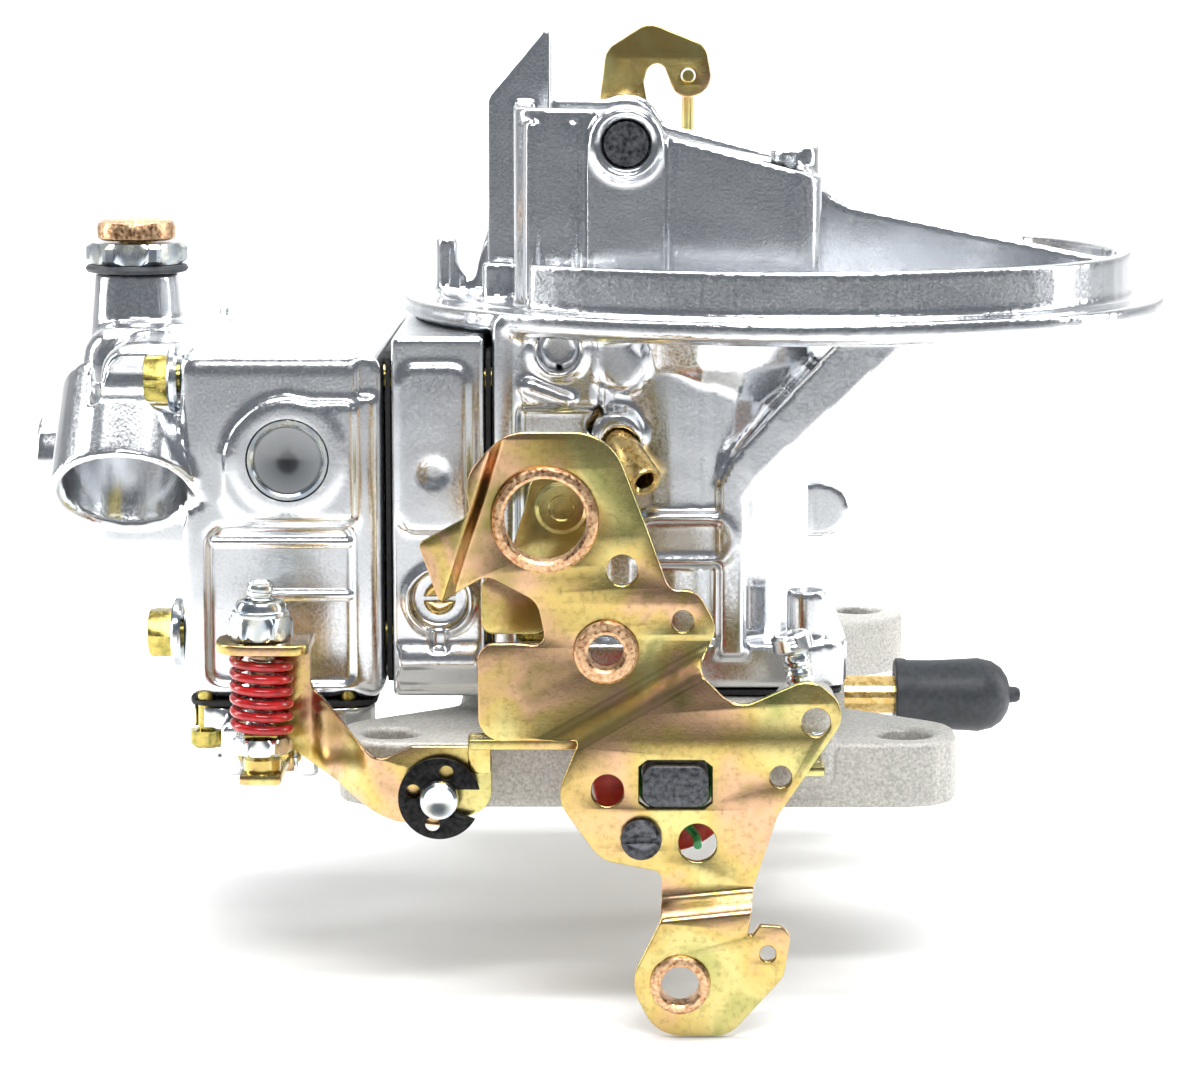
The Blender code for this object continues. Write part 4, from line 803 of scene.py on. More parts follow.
class MakeMainBody(bpy.types.Operator):
    """The main body: barrels, air cleaner seat, choke tower and vent stack in one casting"""

    bl_idname = "carburetor.main_body"
    bl_label = "Main body"

    def execute(self, context):
        joined, cuts = side_details(-1)
        far_joined, far_cuts = side_details(1)
        joined += far_joined
        cuts += far_cuts
        cuts.append(rod("nipple_hole", (-7.8, -42.2, 63.3), (-0.2, -56.8, 54.0), 3.3, sides=32))
        rim = [(4.8, 0), (6.5, 0), (6.5, 3.0), (6.1, 3.4), (5.3, 3.4), (4.8, 3.0)]
        for side in (-1, 1):
            joined.append(rod("port_boss", (-5.2, side * 43, 61.4), (-5.2, side * 49.4, 61.4), 5.2, 4.4, 0.8))
            joined.append(lathe("choke_rim", rim, (CHOKE_X, side * 38, CHOKE_Z), (0, side, 0)))
            for x in (-20.6, -13.4):
                low, high = (x, side * 37.4, 84), (x, side * 37.4, 116.4)
                joined.append(rod("tower_flute", low, high, 1.5, 1.3, 0.6, sides=20))
        body = cast(context, "main_body", "bright_casting", joined, cuts)
        keep(body, "carburetor", "bright_casting", "main_body")
        return {"FINISHED"}


class MakeThrottleBody(bpy.types.Operator):
    """The throttle body and its flange, a matt blasted casting"""

    bl_idname = "carburetor.throttle_body"
    bl_label = "Throttle body"

    def execute(self, context):
        body = cast(context, "throttle_body", "sand_casting", fineness=1.05)
        keep(body, "carburetor", "sand_casting", "throttle_body")
        return {"FINISHED"}


class MakeMeteringBlock(bpy.types.Operator):
    """The metering block between the bowl and the body, with its blank pads"""

    bl_idname = "carburetor.metering_block"
    bl_label = "Metering block"

    def execute(self, context):
        joined = []
        cuts = []
        for side in (-1, 1):
            pad = rounded([(-44.0, 44.3, 3), (-31.6, 44.3, 3), (-31.6, 74.0, 3), (-44.0, 74.0, 3)])
            joined.append(plate("blank_pad", pad, *span(side, 50.8, 46), edge=0.5))
            rim, well, out, top = [(IDLE_X, side * y, IDLE_Z) for y in (46, 47.4, 53, 50.6)]
            joined.append(rod("idle_rim", rim, top, 6.9, 6.6, 0.6))
            cuts.append(rod("idle_well", well, out, 5.3))
            low, high = span(side, 53, 48.4)
            cuts.append(block("key_slot", (-38.6, low, 22.8), (-35.4, high, 29), 0.8))
            cuts.append(rod("witness", (-37.8, side * 50.4, 55), (-37.8, side * 53, 55), 2.4))
        body = cast(context, "metering_block", "bright_casting", joined, cuts, 0.85)
        keep(body, "carburetor", "bright_casting", "metering_block")
        return {"FINISHED"}


class MakeFuelBowl(bpy.types.Operator):
    """The fuel bowl: inlet bosses, needle tower, sight plug boss and ribbed panels"""

    bl_idname = "carburetor.fuel_bowl"
    bl_label = "Fuel bowl"

    def execute(self, context):
        joined = []
        cuts = []
        for side in (-1, 1):
            dome = rounded([(-74.8, 46.1, 5), (-51.9, 46.1, 1), (-51.9, 67.4, 1), (-74.8, 67.4, 11)])
            joined.append(plate("sight_boss", dome, *span(side, 51.2, 46), edge=0.6))
            low, high = span(side, 53, 48.9)
            panel = rounded([(-78.4, 16.5, 3), (-52.1, 16.5, 2), (-52.1, 45.4, 2), (-78.4, 45.4, 4)])
            cuts.append(plate("panel", panel, low, high))
            cuts.append(block("flange_step", (-51.6, low, 68.0), (-44, high, 80), 0.6))
            mouth = Vector((-93.0, side * 47.0, 50.5))
            inward = -Vector((0, side * math.cos(math.radians(50)), -math.sin(math.radians(50))))
            cuts.append(rod("inlet_flare", mouth - inward * 3, mouth + inward * 1.3, 14.6, 10.8))
            low, high = span(side, 49, 45)
            joined.append(block("bowl_nub", (-84.6, low, 58.2), (-81.5, high, 62.6), 0.9))
        cuts.append(block("crown", (-89, -60, 76.4), (-60, -11, 95)))
        cuts.append(block("crown", (-89, 11, 76.4), (-60, 60, 95)))
        body = cast(context, "fuel_bowl", "bright_casting", joined, cuts)
        ribs = []
        for y in (-48.6, 48.6):
            for x, z in ((-78.0, 42.3), (-70.0, 32.8)):
                ribs.append(rod("rib", (x, y, z), (-52.4, y, z), 1.25, edge=0.8, sides=20))
        bars = merge("bowl_ribs", ribs, materials(context)["bright_casting"])
        hole = rod("sight_well", (SIGHT_X, -54, SIGHT_Z), (SIGHT_X, -48.2, SIGHT_Z), 7.4)
        modify(body, "DIFFERENCE", [hole])
        shade(body.data, math.radians(50))
        keep(body, "carburetor", "bright_casting", "fuel_bowl")
        keep(bars, "carburetor", "bright_casting")
        return {"FINISHED"}


class MakePumpCover(bpy.types.Operator):
    """The accelerator pump's cover with its two arm lugs, and its four screws"""

    bl_idname = "carburetor.pump_cover"
    bl_label = "Pump cover"

    def execute(self, context):
        look = materials(context)
        body = cast(context, "pump_cover", "bright_casting", fineness=0.8, rounds=4)
        keep(body, "carburetor", "bright_casting", "pump_cover")
        profile = [(0, 0), (2.4, 0), (3.0, 0.7), (3.0, 3.1), (1.5, 3.1), (1.5, 11.8), (0, 11.9)]
        head = lathe("cover_screw", profile, (0, 0, 5.0), UP, sides=32)
        modify(head, "DIFFERENCE", [block("driver_slot", (-5, -0.4, 4), (5, 0.4, 5.9))])
        points = [(x, y, 0) for x in (-79, -53.5) for y in (-47, -18)]
        screws = repeat("pump_cover_screws", head, look["old_gold"], points)
        keep(screws, "carburetor", "brass", *[f"pump_cover_screw_{i}" for i in range(1, 5)])
        return {"FINISHED"}


class MakeBowlScrews(bpy.types.Operator):
    """Four long hex screws with washers through the bowl and the metering block"""

    bl_idname = "carburetor.bowl_screws"
    bl_label = "Bowl screws"

    def execute(self, context):
        look = materials(context)
        points = [(0, side * SCREW_Y, z) for side in (-1, 1) for z in SCREW_Z]
        profile = [(0, 0), (3.6, 0), (4.2, 0.25), (4.7, 0.9), (4.7, 4.4), (2.4, 4.4), (2.4, 72.6), (0, 72.6)]
        screw = lathe("bowl_screw", profile, (-89.6, 0, 0), (1, 0, 0), flats=(6, 4.07))
        ring = [(2.6, 0.05), (5.7, 0.05), (6.2, 0.5), (6.2, 1.3), (5.8, 1.8), (2.6, 1.8)]
        washer = lathe("washer", ring, (-85.2, 0, 0), (1, 0, 0))
        screws = repeat("screws", screw, look["old_gold"], points)
        washers = repeat("washers", washer, look["bright_zinc"], points)
        both = merge("bowl_screws", [screws, washers])
        keep(both, "carburetor", "gold_zinc", *[f"bowl_screw_{i}" for i in range(1, 5)])
        return {"FINISHED"}


class MakeNeedleStack(bpy.types.Operator):
    """The needle and seat assembly's hex nut, its copper-toned lock screw and its O-ring"""

    bl_idname = "carburetor.needle_stack"
    bl_label = "Needle stack"

    def execute(self, context):
        look = materials(context)
        nut = [(3.5, 88.5), (8.4, 88.5), (9.6, 89.2), (9.6, 91.6), (8.3, 92.4), (3.5, 92.4)]
        made = lathe("needle_hex_nut", nut, (TOWER_X, 0, 0), UP, look["bright_zinc"], 96, (6, 8.3))
        keep(made, "carburetor", "bright_zinc", "needle_seat_nut")
        disc = [(0, 92.9), (6.6, 92.9), (7.3, 93.3), (7.35, 95.4), (7.0, 96.2), (6.2, 96.6), (0, 96.6)]
        made = lathe("needle_lock_screw_disc", disc, (TOWER_X, 0, 0), UP, look["copper_finish"], 64)
        modify(made, "DIFFERENCE", [block("driver_slot", (TOWER_X - 9, -0.8, 95.2), (TOWER_X + 9, 0.8, 98))])
        keep(made, "carburetor", "copper_finish", "needle_lock_screw")
        ring = [(8.2, 86.75), (9.3, 87.0), (9.7, 87.6), (9.3, 88.2), (8.2, 88.4), (6.4, 88.4), (6.4, 86.75)]
        made = lathe("needle_o_ring", ring, (TOWER_X, 0, 0), UP, look["rubber"], 64)
        keep(made, "carburetor", "rubber")
        return {"FINISHED"}


class MakeSightPlug(bpy.types.Operator):
    """The smoked sight plug in the bowl's side, in its thin bright ring"""

    bl_idname = "carburetor.sight_plug"
    bl_label = "Sight plug"

    def execute(self, context):
        look = materials(context)
        centre = (SIGHT_X, -48.4, SIGHT_Z)
        ring = [(6.1, 0), (7.35, 0), (7.35, 2.5), (7.1, 2.9), (6.5, 2.9), (6.1, 2.5)]
        bezel = lathe("bezel", ring, centre, (0, -1, 0), look["bright_zinc"], 64)
        lens = [(0, 0), (6.05, 0), (6.05, 2.1), (5.7, 2.35), (3.4, 2.1), (1.6, 1.5), (0, 0.9)]
        glass = lathe("lens", lens, centre, (0, -1, 0), look["sight_glass"], 64)
        keep(merge("sight_plug_window", [bezel, glass]), "carburetor", "dark_steel", "sight_plug")
        return {"FINISHED"}


class MakeTubes(bpy.types.Operator):
    """The slanted brass nipple and the vacuum tube's rubber cap"""

    bl_idname = "carburetor.tubes"
    bl_label = "Nipple, tube and cap"

    def execute(self, context):
        look = materials(context)
        start, end = Vector((-7.4, -43.0, 62.8)), Vector((-0.2, -56.8, 54.0))
        length = (end - start).length
        wall = [
            (1.7, 4), (2.6, 3), (3.0, 4), (3.0, length - 0.6), (2.7, length - 0.1), (2.2, length - 0.1),
            (1.7, length - 0.6),
        ]
        nipple = lathe("brass_nipple", wall, start, end - start, look["brass"], 48)
        keep(nipple, "carburetor", "brass", "vent_nipple")
        cap = [
            (0, 71.2), (1.1, 71.0), (1.5, 70.3), (1.6, 69.1), (3.4, 68.6), (5.2, 67.4), (6.4, 65.6),
            (7.0, 63.0), (6.8, 60.0),
        ]
        cap += [
            (6.55, 54.0), (6.6, 49.6), (6.9, 49.0), (6.9, 47.5), (6.5, 47.2), (3.9, 47.2), (3.9, 63.0),
            (0, 63.0),
        ]
        keep(
            lathe("rubber_cap", cap[::-1], (0, -8, 7.2), (1, 0, 0), look["rubber"], 56), "carburetor",
            "rubber", "vacuum_cap",
        )
        return {"FINISHED"}


class MakeThrottleLever(bpy.types.Operator):
    """The stepped throttle lever, its stop tang and its three peened bushings"""

    bl_idname = "carburetor.throttle_lever"
    bl_label = "Throttle lever"

    def execute(self, context):
        look = materials(context)
        holes = [
            circle(*CABLE, 7.4), circle(-4.4, 43.9, 2.6), circle(5.7, 35.3, 1.8), circle(*KICKDOWN, 3.5),
            circle(22.0, 9.8, 1.8), circle(27.8, 19.0, 2.4), circle(-6.8, 7.4, 2.7), circle(*CAM_SCREW, 1.8),
            circle(8.2, -1.5, 3.2), circle(*LOWER, 3.7), circle(19.9, -19.4, 1.3),
        ]
        corners = [
            (-1, -0.75), (-0.78, -1), (0.78, -1), (1, -0.75), (1, 0.75), (0.78, 1), (-0.78, 1), (-1, 0.75),
        ]
        holes.append([(BORE_X + a * 6, SHAFT_Z + b * 4) for a, b in corners])
        lever = plate("throttle_lever_sheet", lever_edge(), LEVER_TOP, LEVER_TOP + SHEET, holes, edge=0.3)
        bend(lever, (-3.0, 24.6), (0.5, -0.87), 5.0, LEVER_MID - LEVER_TOP)
        bend(lever, (10, -9.6), (0.1, -1), 4.0, LEVER_END - LEVER_MID)
        bend(lever, (-30.0, 46.0), (-0.95, 0.3), 2.4, -3.2)
        tang = block("stop_tang", (24.4, LEVER_MID + 1, 9.6), (29.4, -79.4, 11.3), 0.4)
        lever.data.materials.append(look["gold_zinc"])
        tang.data.materials.append(look["gold_zinc"])
        keep(merge("throttle_lever_plated", [lever, tang]), "throttle", "gold_zinc", "throttle_lever")
        spots = [
            ("cable", *CABLE, LEVER_TOP, 8.9, 6.85, 7.1), ("kickdown", *KICKDOWN, LEVER_TOP, 5.4, 2.9, 3.2),
            ("lower", *LOWER, LEVER_END, 5.0, 3.15, 3.4),
        ]
        for name, x, z, y, outer, inner, neck in spots:
            profile = [
                (neck, 2.4), (neck, -0.3), (outer - 0.2, -0.3), (outer, -0.6), (outer - 0.1, -1.05),
                (outer - 0.5, -1.4),
            ]
            profile += [(inner + 0.6, -1.5), (inner + 0.15, -1.25), (inner, -0.8), (inner, 2.4)]
            made = lathe(
                f"{name}_bushing_peened", profile[::-1], (x, y, z), (0, 1, 0), look["copper_finish"], 56,
            )
            keep(made, "throttle", "copper_finish", f"{name}_bushing")
        return {"FINISHED"}


class MakeShaftEnd(bpy.types.Operator):
    """The throttle shaft, the red pump cam with its screw, and the green return spring"""

    bl_idname = "carburetor.shaft_end"
    bl_label = "Shaft, cam and return spring"

    def execute(self, context):
        look = materials(context)
        corners = rounded(
            [(BORE_X + a * 5.5, SHAFT_Z + b * 3.5, 2.2) for a, b in ((-1, -1), (1, -1), (1, 1), (-1, 1))]
        )
        shaft = rod("throttle_shaft_turned", (BORE_X, -92, SHAFT_Z), (BORE_X, 66, SHAFT_Z), 4.0, edge=0.4)
        modify(shaft, "UNION", [plate("flats", corners, -97.2, -89.5, edge=0.4)])
        modify(
            shaft, "DIFFERENCE",
            [block("plate_slot", (BORE_X - 10, -44.5, SHAFT_Z - 1.2), (BORE_X + 10, 44.5, SHAFT_Z + 1.2))],
        )
        cover(shaft, look["dark_steel"])
        shade(shaft.data)
        keep(shaft, "throttle", "dark_steel", "throttle_shaft")
        outline = []
        for i in range(96):
            angle = 2 * math.pi * i / 96
            reach = 12.2 + 1.7 * math.cos(angle - math.radians(200))
            outline.append((BORE_X + reach * math.cos(angle), SHAFT_Z + reach * math.sin(angle)))
        holes = [circle(BORE_X, SHAFT_Z, 8.2), circle(*CAM_SCREW, 1.8)]
        cam = plate("pump_cam_moulded", outline, -89.3, -84.6, holes, edge=0.4, material=look["red_nylon"])
        keep(cam, "throttle", "red_nylon", "pump_cam")
        profile = [
            (0, -97.6), (2.7, -97.6), (3.4, -96.9), (3.4, -95.8), (1.5, -95.8), (1.5, -85.5), (0, -85.5),
        ]
        screw = lathe(
            "cam_screw_slotted", profile, (CAM_SCREW[0], 0, CAM_SCREW[1]), (0, 1, 0), look["dark_steel"], 40,
        )
        modify(screw, "DIFFERENCE", [block("driver_slot", (-6, -99, -1.2), (4, -97.0, -0.2))])
        keep(screw, "throttle", "dark_steel", "pump_cam_screw")
        coil = []
        turns, steps, radius, length = 3.25, 28, 6.4, 8.0
        for i in range(int(turns * steps) + 1):
            angle = 2 * math.pi * i / steps - math.pi / 2
            x, z = BORE_X + radius * math.cos(angle), SHAFT_Z + radius * math.sin(angle)
            coil.append((x, -89.0 + length * i / (turns * steps), z))
        hook = [(8.2, -97.0, -1.5), (8.2, -94.0, -1.5), (8.2, -91.6, -1.5), (7.0, -90.2, 0.0)]
        tail = [(17.5, -80.8, 8.6), (20.5, -80.8, 9.0)]
        spring = tube("return_spring_coil", hook + coil + tail, 0.7, look["green_wire"])
        keep(spring, "throttle", "green_wire", "return_spring")
        return {"FINISHED"}


class MakePumpLinkage(bpy.types.Operator):
    """The pump lever with its pin and clip, and its sprung bolt and nut"""

    bl_idname = "carburetor.pump_linkage"
    bl_label = "Pump linkage"

    def execute(self, context):
        look = materials(context)
        springs = context.scene.carburetor_springs
        x, z = PUMP_PIN
        outline = rounded([
            (-65.5, 28.6, 0), (-58.4, 28.6, 0), (-58.4, 19.7, 3), (-46, 9.6, 4), (-40, 12.5, 1), (-26.5, 12.5, 2),
            (-26.5, 2.2, 4), (x + 1, z - 5.4, 4.5), (-43, -0.5, 4), (-57, 5.5, 5), (-65.5, 11.5, 3),
        ])
        strap = plate("strap", outline, -68.3, -68.3 + SHEET, [circle(x, z, 2.5)], edge=0.25)
        bend(strap, (-58.5, 0), (1, 0), 13.5, -15.6, 12)
        shelf = rounded([(-74, -81, 6), (-57.8, -81, 3), (-57.8, -66.6, 0), (-74, -66.6, 5)])
        flange = plate("nut_shelf", shelf, 27.4, 27.4 + SHEET, [circle(PUMP_X, PUMP_Y, 2.7)], "XY", edge=0.25)
        tongue_edge = rounded([(-30, -89.3, 0), (-9.5, -89.3, 3), (-9.5, -84.0, 3), (-30, -84.0, 0)])
        tongue = plate("cam_tongue", tongue_edge, 13.0, 13.0 + SHEET, (), "XY", edge=0.25)
        root = block("tongue_root", (-30.5, -85.2, 8.0), (-26.6, -82.4, 14.7), 0.5)
        lever = modify(strap, "UNION", [flange, root, tongue])
        lever.name = "pump_lever_plated"
        cover(lever, look["gold_zinc"])
        shade(lever.data)
        keep(lever, "pump_lever", "gold_zinc", "pump_lever")

        zinc = look["bright_zinc"]
        profile = [
            (0, -88.5), (0.9, -88.6), (1.4, -88.8), (2.6, -88.9), (3.1, -88.6), (3.3, -88.0), (3.3, -87.2),
        ]
        profile += [(2.2, -87.2), (2.2, -70), (0, -70)]
        pin = lathe("pump_lever_pin_headed", profile, (x, 0, z), (0, 1, 0), zinc, 40)
        keep(pin, "carburetor", "bright_zinc", "pump_lever_pin")
        turns = [math.radians(degrees) for degrees in (75, 165, 255)]
        holes = [circle(x + 4.6 * math.cos(turn), z + 4.6 * math.sin(turn), 1.25, 24) for turn in turns]
        holes.insert(0, circle(x, z, 2.5, 32))
        disc = circle(x, z, 7.0, 64)
        clip = plate("e_clip", disc, -86.5, -85.6, holes, edge=0.15, material=look["black_oxide"])
        gap = plate(
            "clip_gap", [(x, z - 1.4), (x + 9, z - 4.6), (x + 9, z + 1.6), (x + 1.2, z + 1.6)], -88, -84,
        )
        keep(modify(clip, "DIFFERENCE", [gap]), "carburetor", "black_oxide", "pump_lever_clip")

        place = (PUMP_X, PUMP_Y, 0)
        profile = [(0, 9.4), (4.5, 9.4), (5.2, 9.9), (5.2, 11.7), (4.5, 12.2), (0, 12.2)]
        head = lathe("head", profile, place, UP, zinc, 72, (6, 4.5))
        shank = thread("shank", (PUMP_X, PUMP_Y, 11.5), (PUMP_X, PUMP_Y, 39.0), 2.4, 1.0, zinc)
        profile = [(0, 38.4), (1.9, 38.4), (1.9, 39.2), (1.4, 39.6), (0, 39.6)]
        tip = lathe("tip", profile, place, UP, zinc, 32)
        low, high = (PUMP_X - 2.9, PUMP_Y - 2.9, 12.3), (PUMP_X + 2.9, PUMP_Y + 2.9, 13.2)
        square = block("square", low, high, 0.3, look["old_gold"])
        keep(
            merge("pump_bolt_threaded", [head, shank, tip, square]), "pump_lever", "bright_zinc", "pump_bolt",
        )
        hexes = [(2.7, 29.4), (4.9, 29.4), (5.6, 29.9), (5.6, 32.6), (5.0, 33.3), (2.7, 33.3)]
        nut = lathe("nut", hexes, place, UP, zinc, 72, (6, 4.85))
        collar = [(2.7, 33.2), (4.8, 33.2), (4.9, 33.5), (4.8, 34.2), (4.4, 34.4), (4.35, 35.2)]
        rim = lathe("rim", [*collar, (4.0, 35.8), (3.4, 36.0), (2.7, 36.0)], place, UP, zinc, 56)
        keep(merge("pump_nut_locking", [nut, rim]), "pump_lever", "bright_zinc", "pump_nut")
        values = {
            "Turns": springs.turns, "Radius": 4.7 * MM, "Length": 12.3 * MM,
            "Wire": springs.wire, "Material": look["red_paint"],
        }
        at = Matrix.Translation(Vector((PUMP_X, PUMP_Y, 13.6)) * MM)
        coil = grow("pump_spring_coil", coil_tree(), values, place=at)
        keep(coil, "pump_lever", "red_paint", "pump_spring")
        return {"FINISHED"}


class MakePumpArm(bpy.types.Operator):
    """The pump arm under the cover, turning on its pin"""

    bl_idname = "carburetor.pump_arm"
    bl_label = "Pump arm"

    def execute(self, context):
        look = materials(context)
        y, z = -57.0, 5.4
        arm = block("pump_arm_plated", (PUMP_X - 3.6, -79, 4.6), (PUMP_X + 3.6, -36, 6.4), 0.5)
        eye = rod("eye", (PUMP_X - 4.1, y, z), (PUMP_X + 4.1, y, z), 2.9, edge=0.3)
        pad = rod("pad", (PUMP_X, PUMP_Y, 4.8), (PUMP_X, PUMP_Y, 8.9), 3.2, edge=0.5)
        modify(arm, "UNION", [eye, pad])
        modify(arm, "DIFFERENCE", [rod("bore", (-80, y, z), (-50, y, z), 2.0)])
        cover(arm, look["gold_zinc"])
        shade(arm.data)
        keep(arm, "pump_arm", "gold_zinc", "pump_arm")
        return {"FINISHED"}


class MakeIdleScrews(bpy.types.Operator):
    """Two brass idle mixture screws, and the idle speed screw on its slant"""

    bl_idname = "carburetor.idle_screws"
    bl_label = "Idle screws"

    def execute(self, context):
        look = materials(context)
        for i, side in enumerate((-1, 1)):
            profile = [(0, 31.5), (1.0, 33), (2.0, 39), (2.9, 39), (2.9, 48.1), (2.4, 48.6), (0, 48.6)]
            screw = lathe(
                f"idle_mixture_{i + 1}_slotted", profile, (IDLE_X, 0, IDLE_Z), (0, side, 0), look["brass"], 40,
            )
            low, high = span(side, 47.4, 50)
            modify(screw, "DIFFERENCE", [block("slot", (-41, low, 31.5), (-33, high, 32.5))])
            keep(screw, f"idle_mixture_{i + 1}", "brass", f"idle_mixture_screw_{i + 1}")
        top, tip = Vector((24.6, -81.0, 29.0)), Vector((28.4, -81.0, 12.4))
        along = (tip - top).normalized()
        profile = [(0, -2.6), (2.9, -2.6), (3.5, -2.1), (3.5, 0.0), (3.1, 0.4), (0, 0.4)]
        head = lathe("head", profile, top, along, look["bright_zinc"], 48)
        turn = Matrix.Translation(top * MM) @ along.to_track_quat("Z", "Y").to_matrix().to_4x4()
        slot = block("slot", (-5, -0.5, -3), (5, 0.5, -1.4))
        slot.data.transform(turn)
        modify(head, "DIFFERENCE", [slot])
        shank = thread("shank", top + along * 0.2, tip - along * 0.6, 2.4, 0.9, look["bright_zinc"])
        keep(
            merge(
                "idle_speed_screw_threaded", [head, shank],
            ), "idle_speed", "bright_zinc", "idle_speed_screw",
        )
        return {"FINISHED"}


class MakeKickdownLever(bpy.types.Operator):
    """The stamped side lever on its shoulder screw"""

    bl_idname = "carburetor.kickdown_lever"
    bl_label = "Side lever"

    def execute(self, context):
        look = materials(context)
        outline = rounded([
            (-20, 57, 5), (-8.5, 57, 5.5), (-8.5, 46, 6), (-15, 40, 4), (-17.5, 28, 3),
            (-29, 28, 2), (-29, 37, 2), (-24, 42, 4), (-21.5, 50, 4),
        ])
        lever = plate(
            "side_lever_plated", outline, -62, -62 + SHEET, [circle(*SIDE_PIVOT, 2.9)], edge=0.3,
            material=look["gold_zinc"],
        )
        keep(lever, "kickdown", "gold_zinc", "kickdown_lever")
        profile = [(0, 63.5), (2.0, 63.5), (2.3, 63.8), (3.9, 63.8), (4.6, 63.2), (4.6, 62.4), (2.6, 62.4)]
        profile += [(2.6, 49.4), (2.0, 49.4), (2.0, 41), (0, 41)]
        place = (SIDE_PIVOT[0], 0, SIDE_PIVOT[1])
        screw = lathe("shoulder_screw", profile, place, (0, -1, 0), look["gold_zinc"])
        keep(screw, "carburetor", "gold_zinc", "kickdown_pivot_screw")
        return {"FINISHED"}


class MakeChokeLinkage(bpy.types.Operator):
    """The choke's upper lever, its bent wire link and its control lever"""

    bl_idname = "carburetor.choke_linkage"
    bl_label = "Choke linkage"

    def execute(self, context):
        look = materials(context)
        eye = (CHOKE_X + 12.4, CHOKE_Z + 10.4)
        outline = rounded([
            (CHOKE_X - 6.5, CHOKE_Z - 5, 5), (CHOKE_X + 6, CHOKE_Z - 5, 4), (CHOKE_X + 3.5, CHOKE_Z + 9, 1),
            (CHOKE_X + 4.4, CHOKE_Z + 12.5, 3), (eye[0] - 5, eye[1] + 2.5, 3), (eye[0] - 2, eye[1] - 5.5, 4),
            (eye[0] + 5, eye[1] - 2.5, 4), (eye[0] + 3.5, eye[1] + 6.0, 4),
            (CHOKE_X + 4.5, CHOKE_Z + 21.0, 4), (CHOKE_X - 4, CHOKE_Z + 15.5, 4),
        ])
        gold = look["gold_zinc"]
        holes = [circle(CHOKE_X, CHOKE_Z, 3.5), circle(*eye, 1.5)]
        lever = plate("choke_lever_plated", outline, 44.4, 44.4 + SHEET, holes, edge=0.3, material=gold)
        keep(lever, "choke", "gold_zinc", "choke_lever")
        low = 55.4
        bends = [
            (43.4, eye[1]), (46.0, eye[1]), (47.8, eye[1] - 0.2), (48.4, eye[1] - 2.2), (51.0, 114), (53.4, 107.5),
            (53.9, 103), (53.9, 90), (53.9, low + 4), (53.9, low + 1.0), (53.3, low), (51.6, low), (50.1, low),
        ]
        link = tube("choke_link_bent", [(eye[0], y, z) for y, z in bends], 1.15, gold)
        keep(link, "choke_link", "gold_zinc", "choke_link")
        arm = rounded([
            (CHOKE_X - 6, 39.5, 5), (CHOKE_X + 5, 39.5, 5), (eye[0] + 4, low - 4, 3.5), (
                eye[0] + 3, low + 4, 3.5,
            ),
            (eye[0] - 4, low + 3, 3), (CHOKE_X, 51, 6), (CHOKE_X - 12, 52.5, 4), (CHOKE_X - 13.5, 44.5, 4),
        ])
        holes = [circle(CHOKE_X, 45, 2.9), circle(eye[0], low, 1.5), circle(CHOKE_X - 9.4, 48.2, 1.6)]
        control = plate("control_lever_plated", arm, 50.5, 50.5 + SHEET, holes, edge=0.3, material=gold)
        keep(control, "choke_control", "gold_zinc", "choke_control_lever")
        return {"FINISHED"}


class FinishOtherPieces(bpy.types.Operator):
    """Finishes for the shafts, plates, gaskets and inner pieces, whose shapes are right as they are"""

    bl_idname = "carburetor.other_pieces"
    bl_label = "Shafts, plates and gaskets"

    def execute(self, context):
        look = materials(context)
        kinds = {
            "dark_steel": (["choke_shaft", "float_pin"], 0.15),
            "bright_zinc": (
                [
                    "choke_plate", "pump_arm_pin", "pump_plunger", "choke_pivot_screw", "booster_1",
                    "booster_2", "discharge_nozzle",
                ],
                0.15,
            ),
            "brass": (
                ["throttle_plate_1", "throttle_plate_2", "needle_seat", "inlet_needle", "vacuum_tube"], 0.12,
            ),
            "gasket": (["base_gasket", "metering_gasket", "bowl_gasket", "pump_diaphragm"], 0.0),
            "float_foam": (["float"], 0.5),
        }
        for finish, (nodes, edge) in kinds.items():
            for node in nodes:
                dress(node, look[finish], edge)
        return {"FINISHED"}


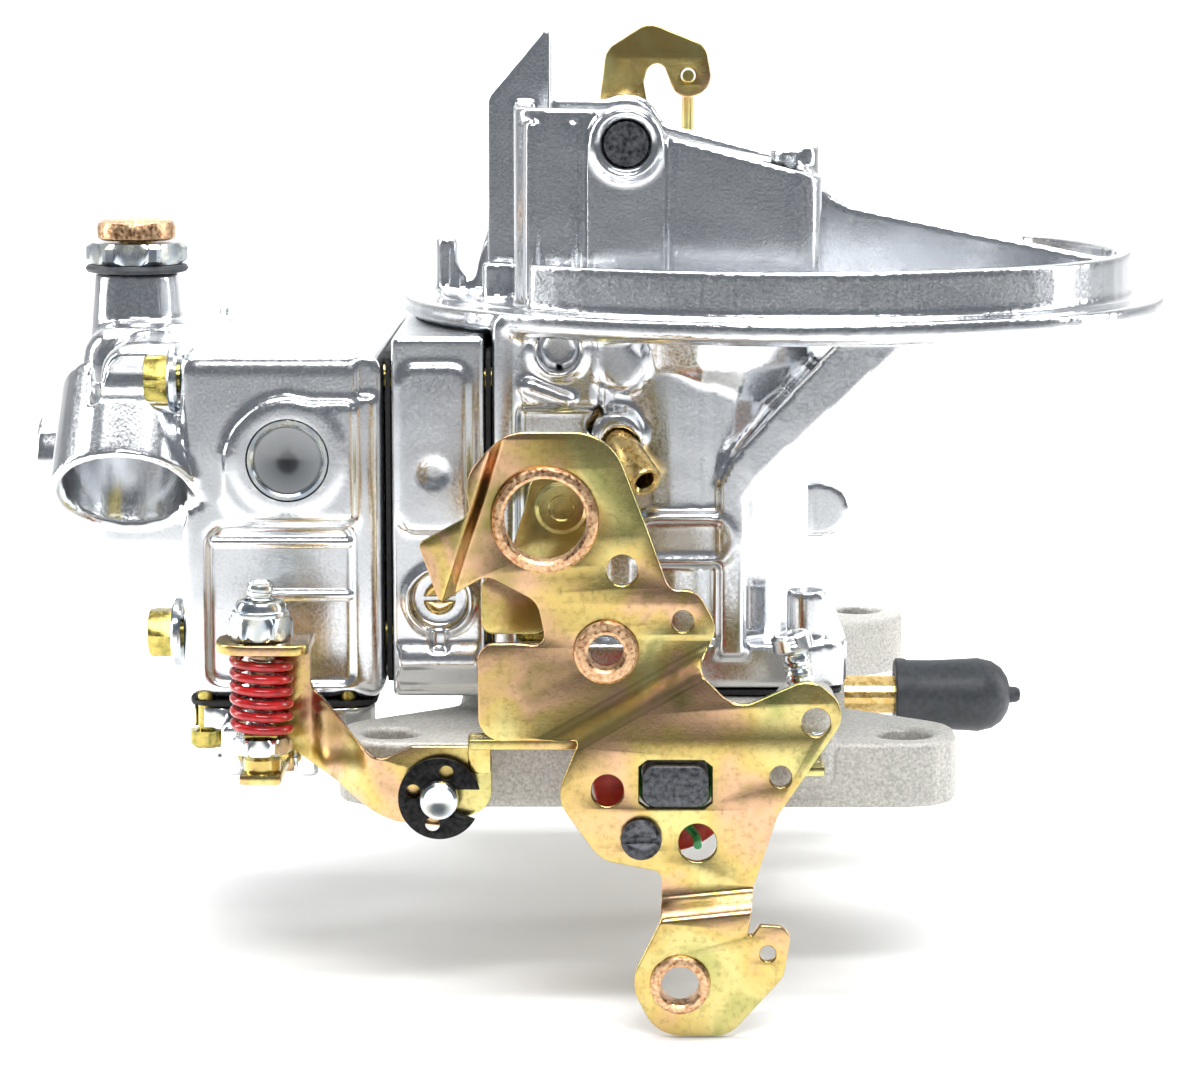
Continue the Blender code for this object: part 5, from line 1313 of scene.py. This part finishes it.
class MakeStudio(bpy.types.Operator):
    """The plain floor, the softboxes round it and the camera"""

    bl_idname = "carburetor.studio"
    bl_label = "Studio"

    def execute(self, context):
        studio = context.scene.carburetor_studio
        floor_z = CAD_BOX[0][2] - 0.0004
        sweep = [(-2.6, 0), (0.9, 0)]
        turns = [math.radians(6 * i) for i in range(1, 16)]
        sweep += [(0.9 + 0.7 * math.sin(turn), 0.7 - 0.7 * math.cos(turn)) for turn in turns]
        sweep.append((1.6, 2.4))
        form = bmesh.new()
        rows = [[form.verts.new((x, y, z + floor_z)) for y, z in sweep] for x in (-3.2, 3.2)]
        for i in range(len(sweep) - 1):
            form.faces.new((rows[0][i], rows[1][i], rows[1][i + 1], rows[0][i + 1]))
        mesh = bpy.data.meshes.new("floor")
        form.to_mesh(mesh)
        form.free()
        mesh.shade_smooth()
        # Background paper: pale, plain and matt.
        paper = Finish("background_paper", Roughness=0.85)
        paper.shader.inputs["Base Color"].default_value = (*studio.floor_colour, 1)
        mesh.materials.append(paper.material)
        linked("floor", mesh)
        world = bpy.data.worlds.new("studio_air")
        world.use_nodes = True
        world.node_tree.nodes["Background"].inputs["Color"].default_value = colour("#7E8288")
        world.node_tree.nodes["Background"].inputs["Strength"].default_value = 0.8
        context.scene.world = world
        context.scene.view_settings.view_transform = "Standard"
        boxes = [
            ("overhead", (0.0, 0.3, 1.1), (0, 0.2, 0.05), (1.3, 1.0), studio.key_power * 1.9, 95),
            ("left", (-1.1, 0.1, 0.5), (0, 0, 0.05), (0.2, 1.0), studio.key_power * 0.7, 120),
            ("right", (1.1, 0.2, 0.5), (0, 0, 0.05), (0.2, 1.0), studio.key_power * 0.7, 120),
            ("front_high", (0.15, -0.9, 1.0), (0, 0, 0.03), (0.9, 0.16), studio.key_power * 0.3, 60),
            ("backdrop", (0.0, 0.8, 1.2), (0, 1.6, 0.5), (2.0, 0.5), studio.key_power * 3.4, 180),
        ]
        for name, place, aim, size, power, spread in boxes:
            light = bpy.data.lights.new(name, "AREA")
            light.shape = "RECTANGLE"
            light.size, light.size_y = size
            light.energy = power
            light.spread = math.radians(spread)
            lamp = linked(name, light)
            lamp.location = place
            lamp.rotation_euler = (Vector(aim) - Vector(place)).to_track_quat("-Z", "Y").to_euler()
        camera = bpy.data.cameras.new("camera")
        camera.lens = 110.14
        camera.sensor_width = 36
        view = linked("camera", camera)
        view.location = (-0.004045, -0.69409, 0.13727)
        view.rotation_euler = (math.radians(81.752), 0, math.radians(0.385))
        context.scene.camera = view
        return {"FINISHED"}


GROUPS = {
    "carburetor_finishes": CarburetorFinishes,
    "carburetor_casting": CarburetorCasting,
    "carburetor_springs": CarburetorSprings,
    "carburetor_studio": CarburetorStudio,
}
STEPS = (
    MakeStudio, MakeThrottleBody, MakeMainBody, MakeMeteringBlock, MakeFuelBowl, MakePumpCover, MakeBowlScrews,
    MakeNeedleStack, MakeSightPlug, MakeTubes, MakeThrottleLever, MakeShaftEnd, MakePumpLinkage, MakePumpArm,
    MakeIdleScrews, MakeKickdownLever, MakeChokeLinkage, FinishOtherPieces,
)


class CarburetorPanel(bpy.types.Panel):
    """Sizes, colours and the steps that make the carburetor"""

    bl_idname = "VIEW3D_PT_carburetor"
    bl_label = "Carburetor"
    bl_space_type = "VIEW_3D"
    bl_region_type = "UI"
    bl_category = "Carburetor"

    def draw(self, context):
        for name in GROUPS:
            group = getattr(context.scene, name)
            for key in group.__annotations__:
                self.layout.prop(group, key)
        for step in STEPS:
            self.layout.operator(step.bl_idname)


CLASSES = (*GROUPS.values(), *STEPS, CarburetorPanel)


def register():
    for item in CLASSES:
        bpy.utils.register_class(item)
    for name, group in GROUPS.items():
        setattr(bpy.types.Scene, name, bpy.props.PointerProperty(type=group))


def unregister():
    for name in GROUPS:
        delattr(bpy.types.Scene, name)
    for item in reversed(CLASSES):
        bpy.utils.unregister_class(item)


def main():
    register()
    for step in STEPS:
        group, name = step.bl_idname.split(".")
        getattr(getattr(bpy.ops, group), name)()


if __name__ == "__main__":
    main()
